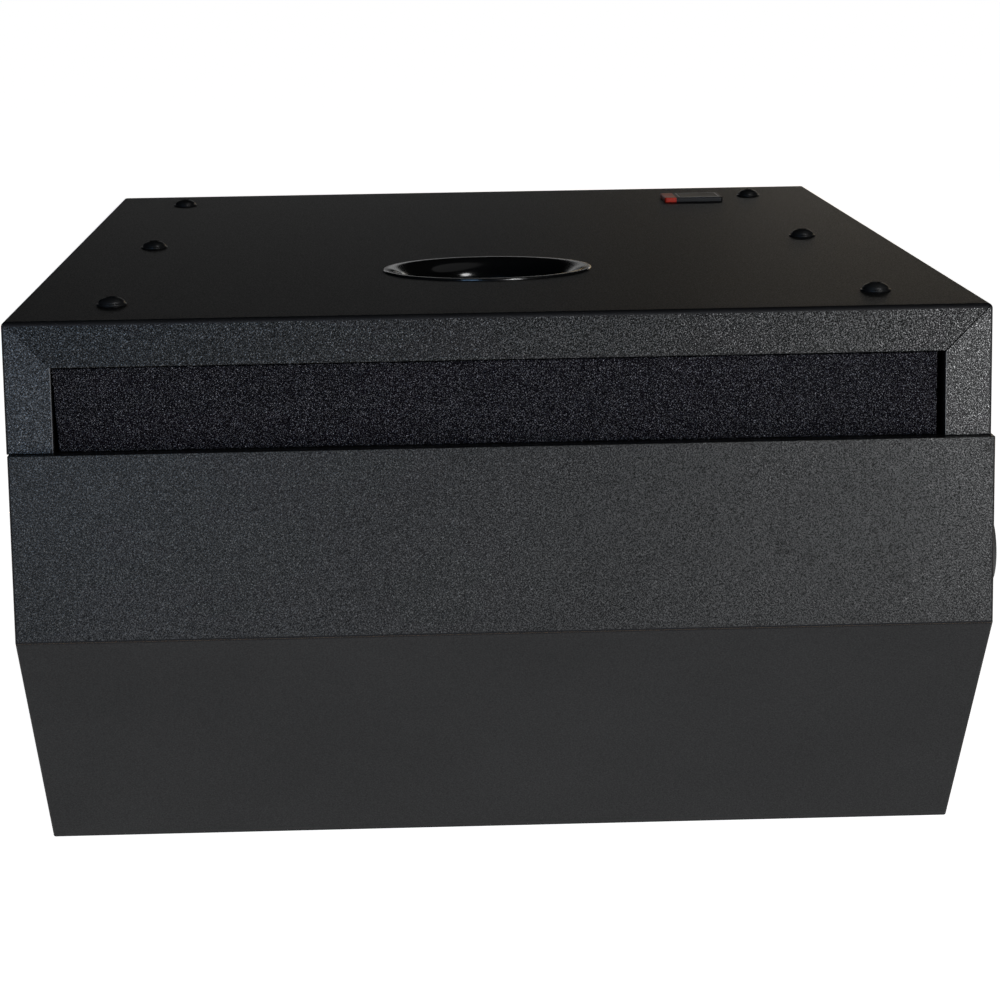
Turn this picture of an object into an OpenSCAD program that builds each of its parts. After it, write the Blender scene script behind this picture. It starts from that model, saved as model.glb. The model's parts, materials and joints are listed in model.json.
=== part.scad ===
/* [Cabinet] */
// Width of the cover, and of the main box below it
box_w = 400; // [396:1:420]
// Depth of the cover, from its near face to its far face
box_d = 587; // [580:1:620]
// Thickness of the cabinet's boards
board_t = 19; // [18:0.5:20]
// Height of the cover, from the main box's rim to the top face
cover_h = 53.8; // [52:0.1:58]
// Height of the upright near panel
band_h = 77.5; // [74:0.5:84]
// Height of the slanted panel, measured upright
slant_h = 112; // [104:0.5:120]
// How far the slanted panel's lower edge lies behind the cover's near face
slant_back = 98.6; // [85:0.1:110]
// How far the near panel stands in front of the cover
band_proud = 5; // [2:0.5:8]
// How far the main box sits to the right of the cover
box_shift = 0.8; // [0:0.1:1.5]
// Thickness of the inner baffle that carries the woofer
baffle_t = 18; // [15:0.5:19]

/* [Cover] */
// Distance of the cover bolts from the middle, to either side
bolt_x = 160; // [155:1:162]
// Distance of the nearest pair of cover bolts from the near face
bolt_first = 51; // [45:1:55]
// Distance from one pair of cover bolts to the next
bolt_pitch = 237; // [230:1:240]
// Outer diameter of the bolt heads' flange
bolt_head_d = 13; // [12:0.5:14]
// How far the foam in the slot is set back from the near face
foam_setback = 3; // [1:0.5:8]
// Thickness of the foam in the slot, front to back
foam_d = 18; // [12:1:24]

/* [Port] */
// Distance of the port's centre from the near face
port_back = 163.6; // [150:0.1:170]
// Outer diameter of the port's flange
port_flange_d = 94.8; // [92:0.1:98]
// Inner diameter of the port's tube
port_bore_d = 70; // [68:0.5:72]
// Depth of the port, from the top face to its inner end
port_l = 165; // [150:1:175]

/* [Feet] */
// Diameter of the rubber feet
foot_d = 33; // [30:0.5:36]
// Height of the rubber feet
foot_h = 9; // [8:0.5:10]

/* [Woofer] */
// Distance of the woofer's centre from the near face
woofer_back = 370; // [360:1:375]
// Outer diameter of the woofer's frame
woofer_d = 262; // [256:1:264]
// Travel of the cone each way
cone_travel = 8; // [4:1:8]

/* [Amplifier] */
// Width of the amplifier's plate
amp_w = 264; // [262:1:270]
// Height of the amplifier's plate
amp_h = 124; // [124:1:128]
// Reach of the heatsink behind the amplifier's plate
sink_reach = 20; // [20:1:24]

/* [Hidden] */

round_fn = 96;
small_fn = 48;

// Layers of the amplifier's plate, outside the far wall
gasket_t = 1.5;
plate_t = 3;
rear_reach = gasket_t + plate_t + sink_reach;

// The row's origin is the middle of the whole box, on the surface that it stands on
cover_cx = -(foot_h + box_shift) / 2;
cover_x0 = cover_cx - box_w / 2;
cover_x1 = cover_cx + box_w / 2;
box_cx = cover_cx + box_shift;
box_x0 = box_cx - box_w / 2;
box_x1 = box_cx + box_w / 2;
near_y = -(box_d + rear_reach - band_proud) / 2;
far_y = near_y + box_d;
band_y = near_y - band_proud;
slant_y = near_y + slant_back;
base_z = foot_h;
band_z = base_z + slant_h;
rim_z = band_z + band_h;
top_z = rim_z + cover_h;
slot_top_z = top_z - board_t;

// Corners of the main box's side view, outside and inside the boards
slope = atan2(slant_y - band_y, slant_h);
outer = [[band_y, rim_z], [band_y, band_z], [slant_y, base_z], [far_y, base_z], [far_y, rim_z]];
inner = [
    [band_y + board_t, rim_z],
    [band_y + board_t, band_z + board_t * tan(slope / 2)],
    [slant_y + board_t * tan(45 - slope / 2), base_z + board_t],
    [far_y - board_t, base_z + board_t],
    [far_y - board_t, rim_z]
];

bolt_spots = [
    for (row = [0, 1, 2]) for (side = [-1, 1])
        [cover_cx + side * bolt_x, near_y + bolt_first + row * bolt_pitch]
];
bolt_r = 3;
bolt_l = 75;
bolt_clear_r = 3.5;
tee_barrel_r = 3.9;
tee_l = 10;
tee_flange_r = 9.5;
tee_flange_t = 1.5;
block_w = 36;

port_x = cover_cx;
port_y = near_y + port_back;
port_r = port_bore_d / 2;
port_wall = 2.5;
port_lip_h = 1;
port_seat_r = port_flange_d / 2 - 4;
port_throat_z = top_z - 16;
port_end_z = top_z - port_l;

// Middles of the feet: x and y under the box, y and z on its right side
foot_x = 158;
bottom_foot_spots = [
    for (y = [slant_y + 52, far_y - 45]) for (side = [-1, 1]) [box_cx + side * foot_x, y]
];
side_foot_spots = [
    [near_y + 49, top_z - 111],
    [slant_y + 52, base_z + 33],
    [far_y - 45, rim_z - 24],
    [far_y - 45, base_z + 33]
];
foot_well_r = 6;
foot_well_d = 4.5;
foot_screw_r = 2;
foot_screw_l = 22;

// The woofer's own layers, up from the baffle's top face
woofer_x = cover_cx;
woofer_y = near_y + woofer_back;
frame_r = woofer_d / 2;
woofer_hole_r = 117;
wood_screw_r = 1.55;
frame_screw_ring_r = 125;
frame_z = 3;
roof_z = 3;
cone_r = 101;
neck_r = 25.5;
neck_z = -38;
spider_z = -46.5;
gap_top_z = -60;
top_plate_t = 6;
magnet_t = 20;
back_plate_t = 8;
pole_r = 24.3;
coil_r = 25.4;
coil_t = 1.2;
coil_l = 22;
coil_z = gap_top_z - top_plate_t / 2 - coil_l / 2;

// The amplifier's middle, and its controls' places to the side and up from there
amp_x = box_cx;
amp_z = base_z + 102;
plate_y = far_y + gasket_t;
face_y = plate_y + plate_t;
cutout_w = amp_w - 20;
cutout_h = amp_h - 20;
board_y = far_y - 12;
pcb_t = 1.6;
amp_screw_spots = [
    for (u = [-1, 0, 1]) for (v = [-1, 0, 1])
        if (u != 0 || v != 0) [u * (amp_w / 2 - 6), v * (amp_h / 2 - 6)]
];
sink_x = -63;
sink_w = 110;
sink_h = 100;
rca_spots = [[24, 34], [46, 34]];
rca_r = 4.15;
rca_l = 9;
high_spot = [74, 34];
remote_spot = [103, 34];
gain_spot = [24, 4];
crossover_spot = [50, 4];
boost_spot = [76, 4];
phase_spot = [102, 4];
lens_spots = [[118, 14], [118, -10]];
terminal_spot = [47, -34];
terminal_pitch = 14;
fuse_spot = [101, -34];
knob_r = 7;
stem_r = 3;
run_fit = 0.05;
phase_travel = 5;

module slab(low, high) {
    translate(low) cube(high - low);
}

// Places children that are drawn in X and Z so that they run from near to far
module along_y(from, to) {
    translate([0, to, 0]) rotate([90, 0, 0]) linear_extrude(to - from) children();
}

// A round piece whose own Z axis points away from the far wall, at a place on the amplifier
module on_amp(spot, y) {
    translate([amp_x + spot[0], y, amp_z + spot[1]]) rotate([-90, 0, 0]) children();
}

// A block on the amplifier: its middle, width and height, and the stretch of depth that it fills
module amp_block(spot, w, h, y0, y1) {
    slab([amp_x + spot[0] - w / 2, y0, amp_z + spot[1] - h / 2],
         [amp_x + spot[0] + w / 2, y1, amp_z + spot[1] + h / 2]);
}

module rounded_rect(w, h, r) {
    square([w - 2 * r, h], center = true);
    square([w, h - 2 * r], center = true);
    for (u = [-1, 1]) for (v = [-1, 1])
        translate([u * (w / 2 - r), v * (h / 2 - r)]) circle(r, $fn = small_fn);
}

module tube(r_out, r_in, z0, z1) {
    translate([0, 0, z0]) difference() {
        cylinder(h = z1 - z0, r = r_out, $fn = round_fn);
        translate([0, 0, -1]) cylinder(h = z1 - z0 + 2, r = r_in, $fn = round_fn);
    }
}

// A board of the main box, between corners i and i + 1 of its side view, mitred on both sides
module mitred_board(i) {
    left = box_x0;
    right = box_x1;
    a = outer[i];
    b = outer[i + 1];
    c = inner[i];
    d = inner[i + 1];
    polyhedron(
        points = [
            [left, a[0], a[1]], [right, a[0], a[1]], [right, b[0], b[1]], [left, b[0], b[1]],
            [left + board_t, c[0], c[1]], [right - board_t, c[0], c[1]],
            [right - board_t, d[0], d[1]], [left + board_t, d[0], d[1]]
        ],
        faces = [[0, 1, 2, 3], [7, 6, 5, 4], [1, 0, 4, 5], [2, 1, 5, 6], [3, 2, 6, 7], [0, 3, 7, 4]]
    );
}

// The right side of the main box, mitred along its near, lower and far edges
module side_board() {
    polyhedron(
        points = concat(
            [for (p = outer) [box_x1, p[0], p[1]]],
            [for (p = inner) [box_x1 - board_t, p[0], p[1]]]
        ),
        faces = [
            [4, 3, 2, 1, 0], [5, 6, 7, 8, 9], [0, 1, 6, 5], [1, 2, 7, 6], [2, 3, 8, 7],
            [3, 4, 9, 8], [4, 0, 5, 9]
        ]
    );
}

module top_plate() {
    color([0.045, 0.043, 0.042])
    difference() {
        along_y(near_y, far_y) polygon([
            [cover_x0, top_z], [cover_x1, top_z],
            [cover_x1 - board_t, slot_top_z], [cover_x0 + board_t, slot_top_z]
        ]);
        translate([port_x, port_y, slot_top_z - 1])
            cylinder(h = board_t + 2, r = port_seat_r + 0.2, $fn = round_fn);
        for (s = bolt_spots)
            translate([s[0], s[1], slot_top_z - 1])
                cylinder(h = board_t + 2, r = bolt_clear_r, $fn = small_fn);
    }
}

module cover_left_rail() {
    color([0.075, 0.078, 0.085])
    along_y(near_y, far_y) polygon([
        [cover_x0, top_z], [cover_x0 + board_t, slot_top_z],
        [cover_x0 + board_t, rim_z], [cover_x0, rim_z]
    ]);
}

module cover_right_rail() {
    color([0.085, 0.085, 0.088])
    along_y(near_y, far_y) polygon([
        [cover_x1, top_z], [cover_x1, rim_z],
        [cover_x1 - board_t, rim_z], [cover_x1 - board_t, slot_top_z]
    ]);
}

module cover_rear_rail() {
    color([0.075, 0.076, 0.08])
    slab([cover_x0 + board_t, far_y - board_t, rim_z], [cover_x1 - board_t, far_y, slot_top_z]);
}

// Blocks that the cover bolts pass through, so that they don't bow the cover
module spacer_blocks() {
    color([0.55, 0.42, 0.28])
    for (s = bolt_spots) difference() {
        slab([s[0] - block_w / 2, s[1] - block_w / 2, rim_z], [s[0] + block_w / 2, s[1] + block_w / 2, slot_top_z]);
        translate([s[0], s[1], rim_z - 1]) cylinder(h = cover_h, r = bolt_clear_r, $fn = small_fn);
    }
}

module slot_foam() {
    color([0.03, 0.03, 0.06])
    slab([cover_x0 + board_t + 2, near_y + foam_setback, rim_z + 0.2],
         [cover_x1 - board_t - 3, near_y + foam_setback + foam_d, slot_top_z - 0.8]);
}

module near_panel() {
    color([0.085, 0.088, 0.092]) mitred_board(0);
}

module slanted_panel() {
    color([0.06, 0.06, 0.06]) mitred_board(1);
}

module bottom_panel() {
    color([0.06, 0.06, 0.062])
    difference() {
        mitred_board(2);
        for (s = bottom_foot_spots)
            translate([s[0], s[1], base_z - 1]) cylinder(h = board_t, r = foot_screw_r + 0.1, $fn = small_fn);
    }
}

module rear_panel() {
    color([0.07, 0.07, 0.073])
    difference() {
        mitred_board(3);
        amp_block([0, 0], cutout_w, cutout_h, far_y - board_t - 1, far_y + 1);
        for (s = amp_screw_spots)
            on_amp(s, far_y - 14) cylinder(h = 15, r = wood_screw_r + 0.05, $fn = small_fn);
    }
}

module left_side_panel() {
    color([0.07, 0.071, 0.075])
    translate([2 * box_cx, 0, 0]) mirror([1, 0, 0]) side_board();
}

module right_side_panel() {
    color([0.075, 0.075, 0.078])
    difference() {
        side_board();
        for (s = side_foot_spots)
            translate([box_x1 + 1, s[0], s[1]]) rotate([0, -90, 0])
                cylinder(h = board_t, r = foot_screw_r + 0.1, $fn = small_fn);
    }
}

module inner_baffle() {
    color([0.5, 0.38, 0.25])
    difference() {
        slab([box_x0 + board_t, band_y + board_t, rim_z - baffle_t], [box_x1 - board_t, far_y - board_t, rim_z]);
        translate([woofer_x, woofer_y, rim_z - baffle_t - 1])
            cylinder(h = baffle_t + 2, r = woofer_hole_r, $fn = round_fn);
        translate([port_x, port_y, rim_z - baffle_t - 1])
            cylinder(h = baffle_t + 2, r = port_r + port_wall + 0.3, $fn = round_fn);
        for (s = bolt_spots)
            translate([s[0], s[1], rim_z - baffle_t - 1])
                cylinder(h = baffle_t + 2, r = tee_barrel_r + 0.1, $fn = small_fn);
        for (a = [22.5 : 45 : 337.5])
            translate([woofer_x, woofer_y, rim_z - baffle_t - 1]) rotate(a)
                translate([frame_screw_ring_r, 0, 0])
                    cylinder(h = baffle_t + 2, r = wood_screw_r + 0.05, $fn = small_fn);
    }
}

// Polyester wadding that lies on the main box's floor
module damping_wadding() {
    color([0.85, 0.85, 0.82])
    slab([box_cx - 160, slant_y + 35, base_z + board_t], [box_cx + 160, far_y - 90, base_z + board_t + 25]);
}

module button_head(r, flange_t, dome_r, dome_h, key_r, key_d) {
    ball_r = (dome_r * dome_r + dome_h * dome_h) / (2 * dome_h);
    sweep = asin(dome_r / ball_r);
    difference() {
        rotate_extrude($fn = small_fn) polygon(concat(
            [[0, 0], [r, 0], [r, flange_t * 0.6], [r - 0.5, flange_t]],
            [for (k = [0 : 7]) let (a = sweep * (1 - k / 8))
                [ball_r * sin(a), flange_t + dome_h - ball_r + ball_r * cos(a)]],
            [[0, flange_t + dome_h]]
        ));
        translate([0, 0, flange_t + dome_h - key_d]) cylinder(h = key_d + 1, r = key_r, $fn = 6);
    }
}

module cover_bolts() {
    color([0.02, 0.02, 0.02])
    for (s = bolt_spots) translate([s[0], s[1], top_z]) {
        button_head(bolt_head_d / 2, 1, 5.4, 3.3, 2.3, 2.4);
        translate([0, 0, -bolt_l]) cylinder(h = bolt_l, r = bolt_r, $fn = small_fn);
    }
}

module tee_nuts() {
    color([0.72, 0.72, 0.7])
    for (s = bolt_spots) translate([s[0], s[1], rim_z - baffle_t]) difference() {
        union() {
            cylinder(h = tee_l, r = tee_barrel_r, $fn = small_fn);
            translate([0, 0, -tee_flange_t]) cylinder(h = tee_flange_t, r = tee_flange_r, $fn = small_fn);
        }
        translate([0, 0, -tee_flange_t - 1]) cylinder(h = tee_l + 4, r = bolt_r + run_fit, $fn = small_fn);
    }
}

// The port's mouth: a flange on the top face whose inside curves down into the tube
module port_flange() {
    curve_r = port_flange_d / 2 - 1.4 - port_r;
    rim_r = port_flange_d / 2;
    curve_z = port_lip_h - curve_r;
    socket_r = port_r + port_wall + 0.1;
    color([0.015, 0.015, 0.015])
    translate([port_x, port_y, top_z]) rotate_extrude($fn = round_fn) polygon(concat(
        [for (a = [0 : 7.5 : 90]) [port_r + curve_r - curve_r * cos(a), curve_z + curve_r * sin(a)]],
        [[rim_r - 0.4, port_lip_h - 0.2], [rim_r, port_lip_h - 0.6], [rim_r, 0], [port_seat_r, 0]],
        [for (a = [60 : -15 : 0])
            [port_seat_r - 4 * cos(a) + 4 * cos(60) - 0.2, -9 - 9 * (1 - a / 60)]],
        [[port_seat_r - 4, -30], [socket_r, -30], [socket_r, port_throat_z - top_z],
         [port_r, port_throat_z - top_z]]
    ));
}

module port_tube() {
    color([0.03, 0.03, 0.03])
    translate([port_x, port_y, 0]) tube(port_r + port_wall, port_r, port_end_z + 12, port_throat_z);
}

module port_inner_flare() {
    socket_r = port_r + port_wall + 0.1;
    curve_r = 11;
    color([0.02, 0.02, 0.02])
    translate([port_x, port_y, port_end_z]) rotate_extrude($fn = round_fn) polygon(concat(
        [for (a = [0 : 10 : 90]) [port_r + curve_r - curve_r * cos(a), curve_r - curve_r * sin(a)]],
        [[port_r + curve_r + 1.5, 0], [port_r + curve_r + 1.5, 2.5], [socket_r + 3.4, 9],
         [socket_r + 2.4, 14], [socket_r + 2.4, 28], [socket_r, 28], [socket_r, 12], [port_r, 12]]
    ));
}

badge_low = [cover_cx + 109.5, near_y + 490, top_z];
badge_size = [32.5, 31, 2.7];
stripe_w = 6.6;
stripe_t = 1;

module badge_plate() {
    color([0.02, 0.02, 0.022])
    difference() {
        slab(badge_low, badge_low + badge_size);
        translate(badge_low + [-1, -1, badge_size[2] - stripe_t]) cube([stripe_w + 1, badge_size[1] + 2, 2]);
    }
}

module badge_stripe() {
    color([0.75, 0.12, 0.04])
    translate(badge_low + [0, 0, badge_size[2] - stripe_t]) cube([stripe_w, badge_size[1], stripe_t]);
}

// A rubber foot that stands on z = 0 and reaches up to the board that it is screwed to
module foot() {
    r = foot_d / 2;
    rotate_extrude($fn = small_fn) polygon([
        [foot_well_r, 0], [r - 4, 0], [r - 2.4, 0.5], [r - 1.6, 2], [r, foot_h], [foot_screw_r + 0.3, foot_h],
        [foot_screw_r + 0.3, foot_well_d], [foot_well_r, foot_well_d]
    ]);
}

// A pan-head screw that points up, with the underside of its head at z = 0
module pan_screw(head_r, head_h, r, l) {
    rotate_extrude($fn = small_fn) polygon([
        [0, -head_h], [head_r * 0.6, -head_h], [head_r * 0.9, -head_h * 0.7], [head_r, -head_h * 0.3],
        [head_r, 0], [r, 0], [r, l - 2 * r], [0, l]
    ]);
}

// The same screw with a cross recess in its head
module cross_screw(head_r, head_h, r, l) {
    difference() {
        pan_screw(head_r, head_h, r, l);
        for (a = [0, 90]) rotate(a)
            translate([-head_r * 0.5, -head_r * 0.12, -head_h - 1]) cube([head_r, head_r * 0.24, head_h * 0.6 + 1]);
    }
}

module at_bottom_feet() {
    for (s = bottom_foot_spots) translate([s[0], s[1], 0]) children();
}

module at_side_feet() {
    for (s = side_foot_spots) translate([box_x1 + foot_h, s[0], s[1]]) rotate([0, -90, 0]) children();
}

module bottom_feet() {
    color([0.03, 0.03, 0.03]) at_bottom_feet() foot();
}

module side_feet() {
    color([0.03, 0.03, 0.03]) at_side_feet() foot();
}

module foot_screws() {
    color([0.6, 0.6, 0.6]) {
        at_bottom_feet() translate([0, 0, foot_well_d]) cross_screw(4.5, 3, foot_screw_r, foot_screw_l);
        at_side_feet() translate([0, 0, foot_well_d]) cross_screw(4.5, 3, foot_screw_r, foot_screw_l);
    }
}

// Puts children in the woofer's own frame: its axis, with z = 0 on the baffle's top face
module at_woofer() {
    translate([woofer_x, woofer_y, rim_z]) children();
}

module frame_screw_ring() {
    for (a = [22.5 : 45 : 337.5]) rotate(a) translate([frame_screw_ring_r, 0, 0]) children();
}

// A pressed steel frame with six windows
module woofer_basket() {
    t = 1.5;
    color([0.05, 0.05, 0.05])
    at_woofer() difference() {
        rotate_extrude($fn = round_fn) polygon([
            [frame_r, t], [frame_r, frame_z], [116, frame_z], [70, spider_z], [59, spider_z],
            [59, gap_top_z + t], [34, gap_top_z + t], [34, gap_top_z], [59 + t, gap_top_z],
            [59 + t, spider_z - t], [71, spider_z - t], [115, t]
        ]);
        for (a = [0 : 60 : 300]) rotate(a) translate([76, -26, -44]) cube([32, 52, 38]);
        frame_screw_ring() translate([0, 0, -1]) cylinder(h = 6, r = 2.3, $fn = small_fn);
    }
}

module woofer_gasket() {
    color([0.1, 0.1, 0.1])
    at_woofer() difference() {
        tube(frame_r, 119, 0, 1.5);
        frame_screw_ring() translate([0, 0, -1]) cylinder(h = 4, r = 2.3, $fn = small_fn);
    }
}

// A half-roll of rubber from the frame to the cone's rim
module woofer_surround() {
    roll_r = (116.5 - cone_r - 1) / 2;
    mid_r = cone_r + 1 + roll_r;
    skin = 1.2;
    color([0.02, 0.02, 0.02])
    at_woofer() rotate_extrude($fn = round_fn) polygon(concat(
        [[cone_r - 4, roof_z + 0.3], [cone_r - 4, roof_z + 0.3 + skin]],
        [for (a = [180 : -15 : 0])
            [mid_r + (roll_r + skin / 2) * cos(a), roof_z + 0.3 + skin + (roll_r + skin / 2) * sin(a)]],
        [[frame_screw_ring_r - 5, roof_z + 0.3 + skin], [frame_screw_ring_r - 5, roof_z + 0.3]],
        [for (a = [0 : 15 : 180])
            [mid_r + (roll_r - skin / 2) * cos(a), roof_z + 0.3 + (roll_r - skin / 2) * sin(a)]]
    ));
}

module woofer_cone() {
    t = 1.2;
    color([0.04, 0.04, 0.04])
    at_woofer() rotate_extrude($fn = round_fn) polygon([
        [cone_r, roof_z], [cone_r, roof_z - t], [cone_r - 4, roof_z - t - 0.4], [neck_r, neck_z],
        [neck_r, neck_z + t * 1.5], [cone_r - 5, roof_z]
    ]);
}

module dust_cap() {
    cap_r = 40;
    cap_h = 13;
    ball_r = (cap_r * cap_r + cap_h * cap_h) / (2 * cap_h);
    cap_z = -27.5;
    sweep = asin(cap_r / ball_r);
    t = 1;
    color([0.03, 0.03, 0.03])
    at_woofer() translate([0, 0, cap_z + cap_h - ball_r]) rotate_extrude($fn = round_fn) polygon(concat(
        [for (k = [0 : 10]) let (a = sweep * k / 10) [ball_r * sin(a), ball_r * cos(a)]],
        [for (k = [10 : -1 : 0]) let (a = sweep * k / 10) [(ball_r - t) * sin(a), (ball_r - t) * cos(a)]]
    ));
}

// A corrugated cloth disc that centres the coil
module spider() {
    r0 = neck_r + 1.2;
    r1 = 68;
    waves = 5;
    steps = 40;
    t = 0.6;
    color([0.75, 0.6, 0.25])
    at_woofer() translate([0, 0, spider_z + t / 2 + 0.8]) rotate_extrude($fn = round_fn) polygon(concat(
        [for (k = [0 : steps]) [r0 + (r1 - r0) * k / steps, t / 2 + 0.8 * sin(360 * waves * k / steps)]],
        [for (k = [steps : -1 : 0]) [r0 + (r1 - r0) * k / steps, -t / 2 + 0.8 * sin(360 * waves * k / steps)]]
    ));
}

module coil_former() {
    color([0.8, 0.65, 0.3]) at_woofer() tube(coil_r, coil_r - 0.5, coil_z, neck_z + 12);
}

module voice_coil() {
    color([0.72, 0.38, 0.2]) at_woofer() tube(coil_r + coil_t, coil_r, coil_z, coil_z + coil_l);
}

module motor_top_plate() {
    color([0.65, 0.65, 0.66]) at_woofer() tube(60, coil_r + coil_t + 0.8, gap_top_z - top_plate_t, gap_top_z);
}

module magnet() {
    z1 = gap_top_z - top_plate_t;
    color([0.12, 0.12, 0.13]) at_woofer() tube(66, 36, z1 - magnet_t, z1);
}

// Back plate and vented pole in one piece
module yoke() {
    z1 = gap_top_z - top_plate_t - magnet_t;
    color([0.6, 0.6, 0.62])
    at_woofer() difference() {
        union() {
            translate([0, 0, z1 - back_plate_t]) cylinder(h = back_plate_t, r = 62, $fn = round_fn);
            translate([0, 0, z1]) cylinder(h = gap_top_z - z1, r = pole_r, $fn = round_fn);
        }
        translate([0, 0, z1 - back_plate_t - 1]) cylinder(h = 60, r = 8, $fn = small_fn);
    }
}

module woofer_screws() {
    color([0.05, 0.05, 0.05])
    at_woofer() frame_screw_ring() translate([0, 0, frame_z]) mirror([0, 0, 1])
        cross_screw(4, 2.6, wood_screw_r, 19);
}

tab_y = woofer_y + 64;
tab_z = rim_z + spider_z - 1.5 - 8;

// A fibre strip below the frame's step, with two blade tabs
module woofer_terminals() {
    color([0.8, 0.65, 0.3]) {
        slab([woofer_x - 13, tab_y - 2, tab_z - 6], [woofer_x + 13, tab_y, tab_z + 8]);
        for (side = [-1, 1])
            slab([woofer_x + side * 7 - 3.15, tab_y, tab_z - 0.4], [woofer_x + side * 7 + 3.15, tab_y + 10, tab_z + 0.4]);
    }
}

lead_r = 1.6;
lead_sides = 8;
lead_rings = 16;

// The wire's middle line at share t of its way: it leaves the tab level, sags and comes up to the board
function lead_point(side, t) =
    let (run = board_y - 4 - (tab_y + 10))
    [woofer_x + side * 7 + 12 * t * t, tab_y + 10 + run * t, tab_z - 26 * sin(180 * t) * sin(90 * t)];

function lead_ring(p, d) =
    let (flat = norm([d[0], d[1]]), across = [d[1], -d[0], 0] / flat, up = cross(across, d) / norm(d))
    [for (k = [0 : lead_sides - 1])
        p + lead_r * (cos(360 * k / lead_sides) * across + sin(360 * k / lead_sides) * up)];

// Two insulated wires from the woofer's tabs to the amplifier's board
module speaker_lead() {
    n = lead_sides;
    last = (lead_rings - 1) * n;
    color([0.6, 0.05, 0.05])
    for (side = [-1, 1]) {
        line = [for (k = [0 : lead_rings - 1]) lead_point(side, k / (lead_rings - 1))];
        polyhedron(
            points = [
                for (k = [0 : lead_rings - 1])
                    each lead_ring(line[k], line[min(k + 1, lead_rings - 1)] - line[max(k - 1, 0)])
            ],
            faces = concat(
                [[for (j = [0 : n - 1]) j]],
                [for (k = [0 : lead_rings - 2]) for (j = [0 : n - 1])
                    [k * n + j, (k + 1) * n + j, (k + 1) * n + (j + 1) % n, k * n + (j + 1) % n]],
                [[for (j = [n - 1 : -1 : 0]) last + j]]
            )
        );
    }
}

module amp_plate() {
    color([0.05, 0.05, 0.052])
    difference() {
        translate([amp_x, face_y, amp_z]) rotate([90, 0, 0]) linear_extrude(plate_t) rounded_rect(amp_w, amp_h, 8);
        for (s = amp_screw_spots) on_amp(s, plate_y - 1) cylinder(h = plate_t + 2, r = 2.2, $fn = small_fn);
        for (s = rca_spots) on_amp(s, plate_y - 1) cylinder(h = plate_t + 2, r = 5.2, $fn = small_fn);
        for (s = [gain_spot, crossover_spot, boost_spot])
            on_amp(s, plate_y - 1) cylinder(h = plate_t + 2, r = 3.7, $fn = small_fn);
        for (s = lens_spots) on_amp(s, plate_y - 1) cylinder(h = plate_t + 2, r = 1.7, $fn = small_fn);
        amp_block(phase_spot, 2 * phase_travel + 1, 4.4, plate_y - 1, face_y + 1);
        amp_block(high_spot, 24.4, 12.4, plate_y - 1, face_y + 1);
        amp_block(remote_spot, 15.4, 13.4, plate_y - 1, face_y + 1);
        amp_block(fuse_spot, 24.4, 10.4, plate_y - 1, face_y + 1);
        for (k = [-1, 0, 1])
            on_amp(terminal_spot + [k * terminal_pitch, 0], plate_y - 1)
                cylinder(h = plate_t + 2, r = 3, $fn = small_fn);
    }
}

module amp_gasket() {
    color([0.03, 0.03, 0.03])
    difference() {
        translate([amp_x, plate_y, amp_z]) rotate([90, 0, 0]) linear_extrude(gasket_t) difference() {
            rounded_rect(amp_w, amp_h, 8);
            square([cutout_w, cutout_h], center = true);
        }
        for (s = amp_screw_spots) on_amp(s, far_y - 1) cylinder(h = gasket_t + 2, r = 2.2, $fn = small_fn);
    }
}

sink_base = 3;
fin_t = 2;
fin_count = 14;

module heatsink() {
    step = (sink_w - fin_t) / (fin_count - 1);
    color([0.03, 0.03, 0.03]) {
        amp_block([sink_x, 0], sink_w, sink_h, face_y, face_y + sink_base);
        for (k = [0 : fin_count - 1])
            amp_block([sink_x - sink_w / 2 + fin_t / 2 + k * step, 0], fin_t, sink_h,
                      face_y + sink_base, face_y + sink_reach);
    }
}

module amp_board() {
    color([0.05, 0.25, 0.1]) amp_block([0, 0], 232, 96, board_y, board_y + pcb_t);
}

module toroid() {
    color([0.7, 0.4, 0.15])
    on_amp([-66, 0], board_y - 21) rotate_extrude($fn = round_fn) translate([10, 0]) square([14, 21]);
}

capacitor_l = 36;

// A row of four below the middle of the board, clear of the leads above it
module capacitors() {
    color([0.05, 0.05, 0.2])
    for (u = [-16, 10, 36, 62])
        on_amp([u, -14], board_y - capacitor_l) cylinder(h = capacitor_l, r = 11, $fn = small_fn);
}

module transistors() {
    color([0.04, 0.04, 0.04])
    for (k = [-2 : 2]) amp_block([sink_x + k * 21, 22], 16, 21, plate_y - 5, plate_y);
}

pot_body_d = 9;

// Housings and threaded bushes, one behind each knob
module potentiometers() {
    color([0.4, 0.4, 0.4])
    for (s = [gain_spot, crossover_spot, boost_spot]) difference() {
        union() {
            amp_block(s, 15, 15, plate_y - pot_body_d, plate_y);
            on_amp(s, plate_y) cylinder(h = plate_t + 2.4, r = 3.5, $fn = small_fn);
            on_amp(s, face_y) cylinder(h = 1.8, r = 6, $fn = 6);
        }
        on_amp(s, plate_y - pot_body_d + 2) cylinder(h = 30, r = stem_r + run_fit, $fn = small_fn);
    }
}

// A fluted knob with a raised pointer, on its stem
module knob(spot) {
    flutes = 18;
    knob_y = face_y + 3;
    knob_l = 11;
    on_amp(spot, knob_y) difference() {
        union() {
            rotate_extrude($fn = small_fn) polygon([
                [0, 0], [knob_r, 0], [knob_r, 2], [knob_r - 0.8, 2.6], [knob_r - 1.2, knob_l - 1],
                [knob_r - 2, knob_l], [0, knob_l]
            ]);
            translate([-0.6, -knob_r + 0.4, knob_l - 0.5]) cube([1.2, knob_r - 1, 1]);
        }
        for (k = [0 : flutes - 1]) rotate(k * 360 / flutes)
            translate([knob_r - 0.7, 0, 3]) cylinder(h = knob_l - 4.5, r = 0.5, $fn = 16);
    }
    on_amp(spot, knob_y - 10) cylinder(h = 10, r = stem_r, $fn = small_fn);
}

module gain_knob() {
    color([0.06, 0.06, 0.06]) knob(gain_spot);
}

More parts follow.
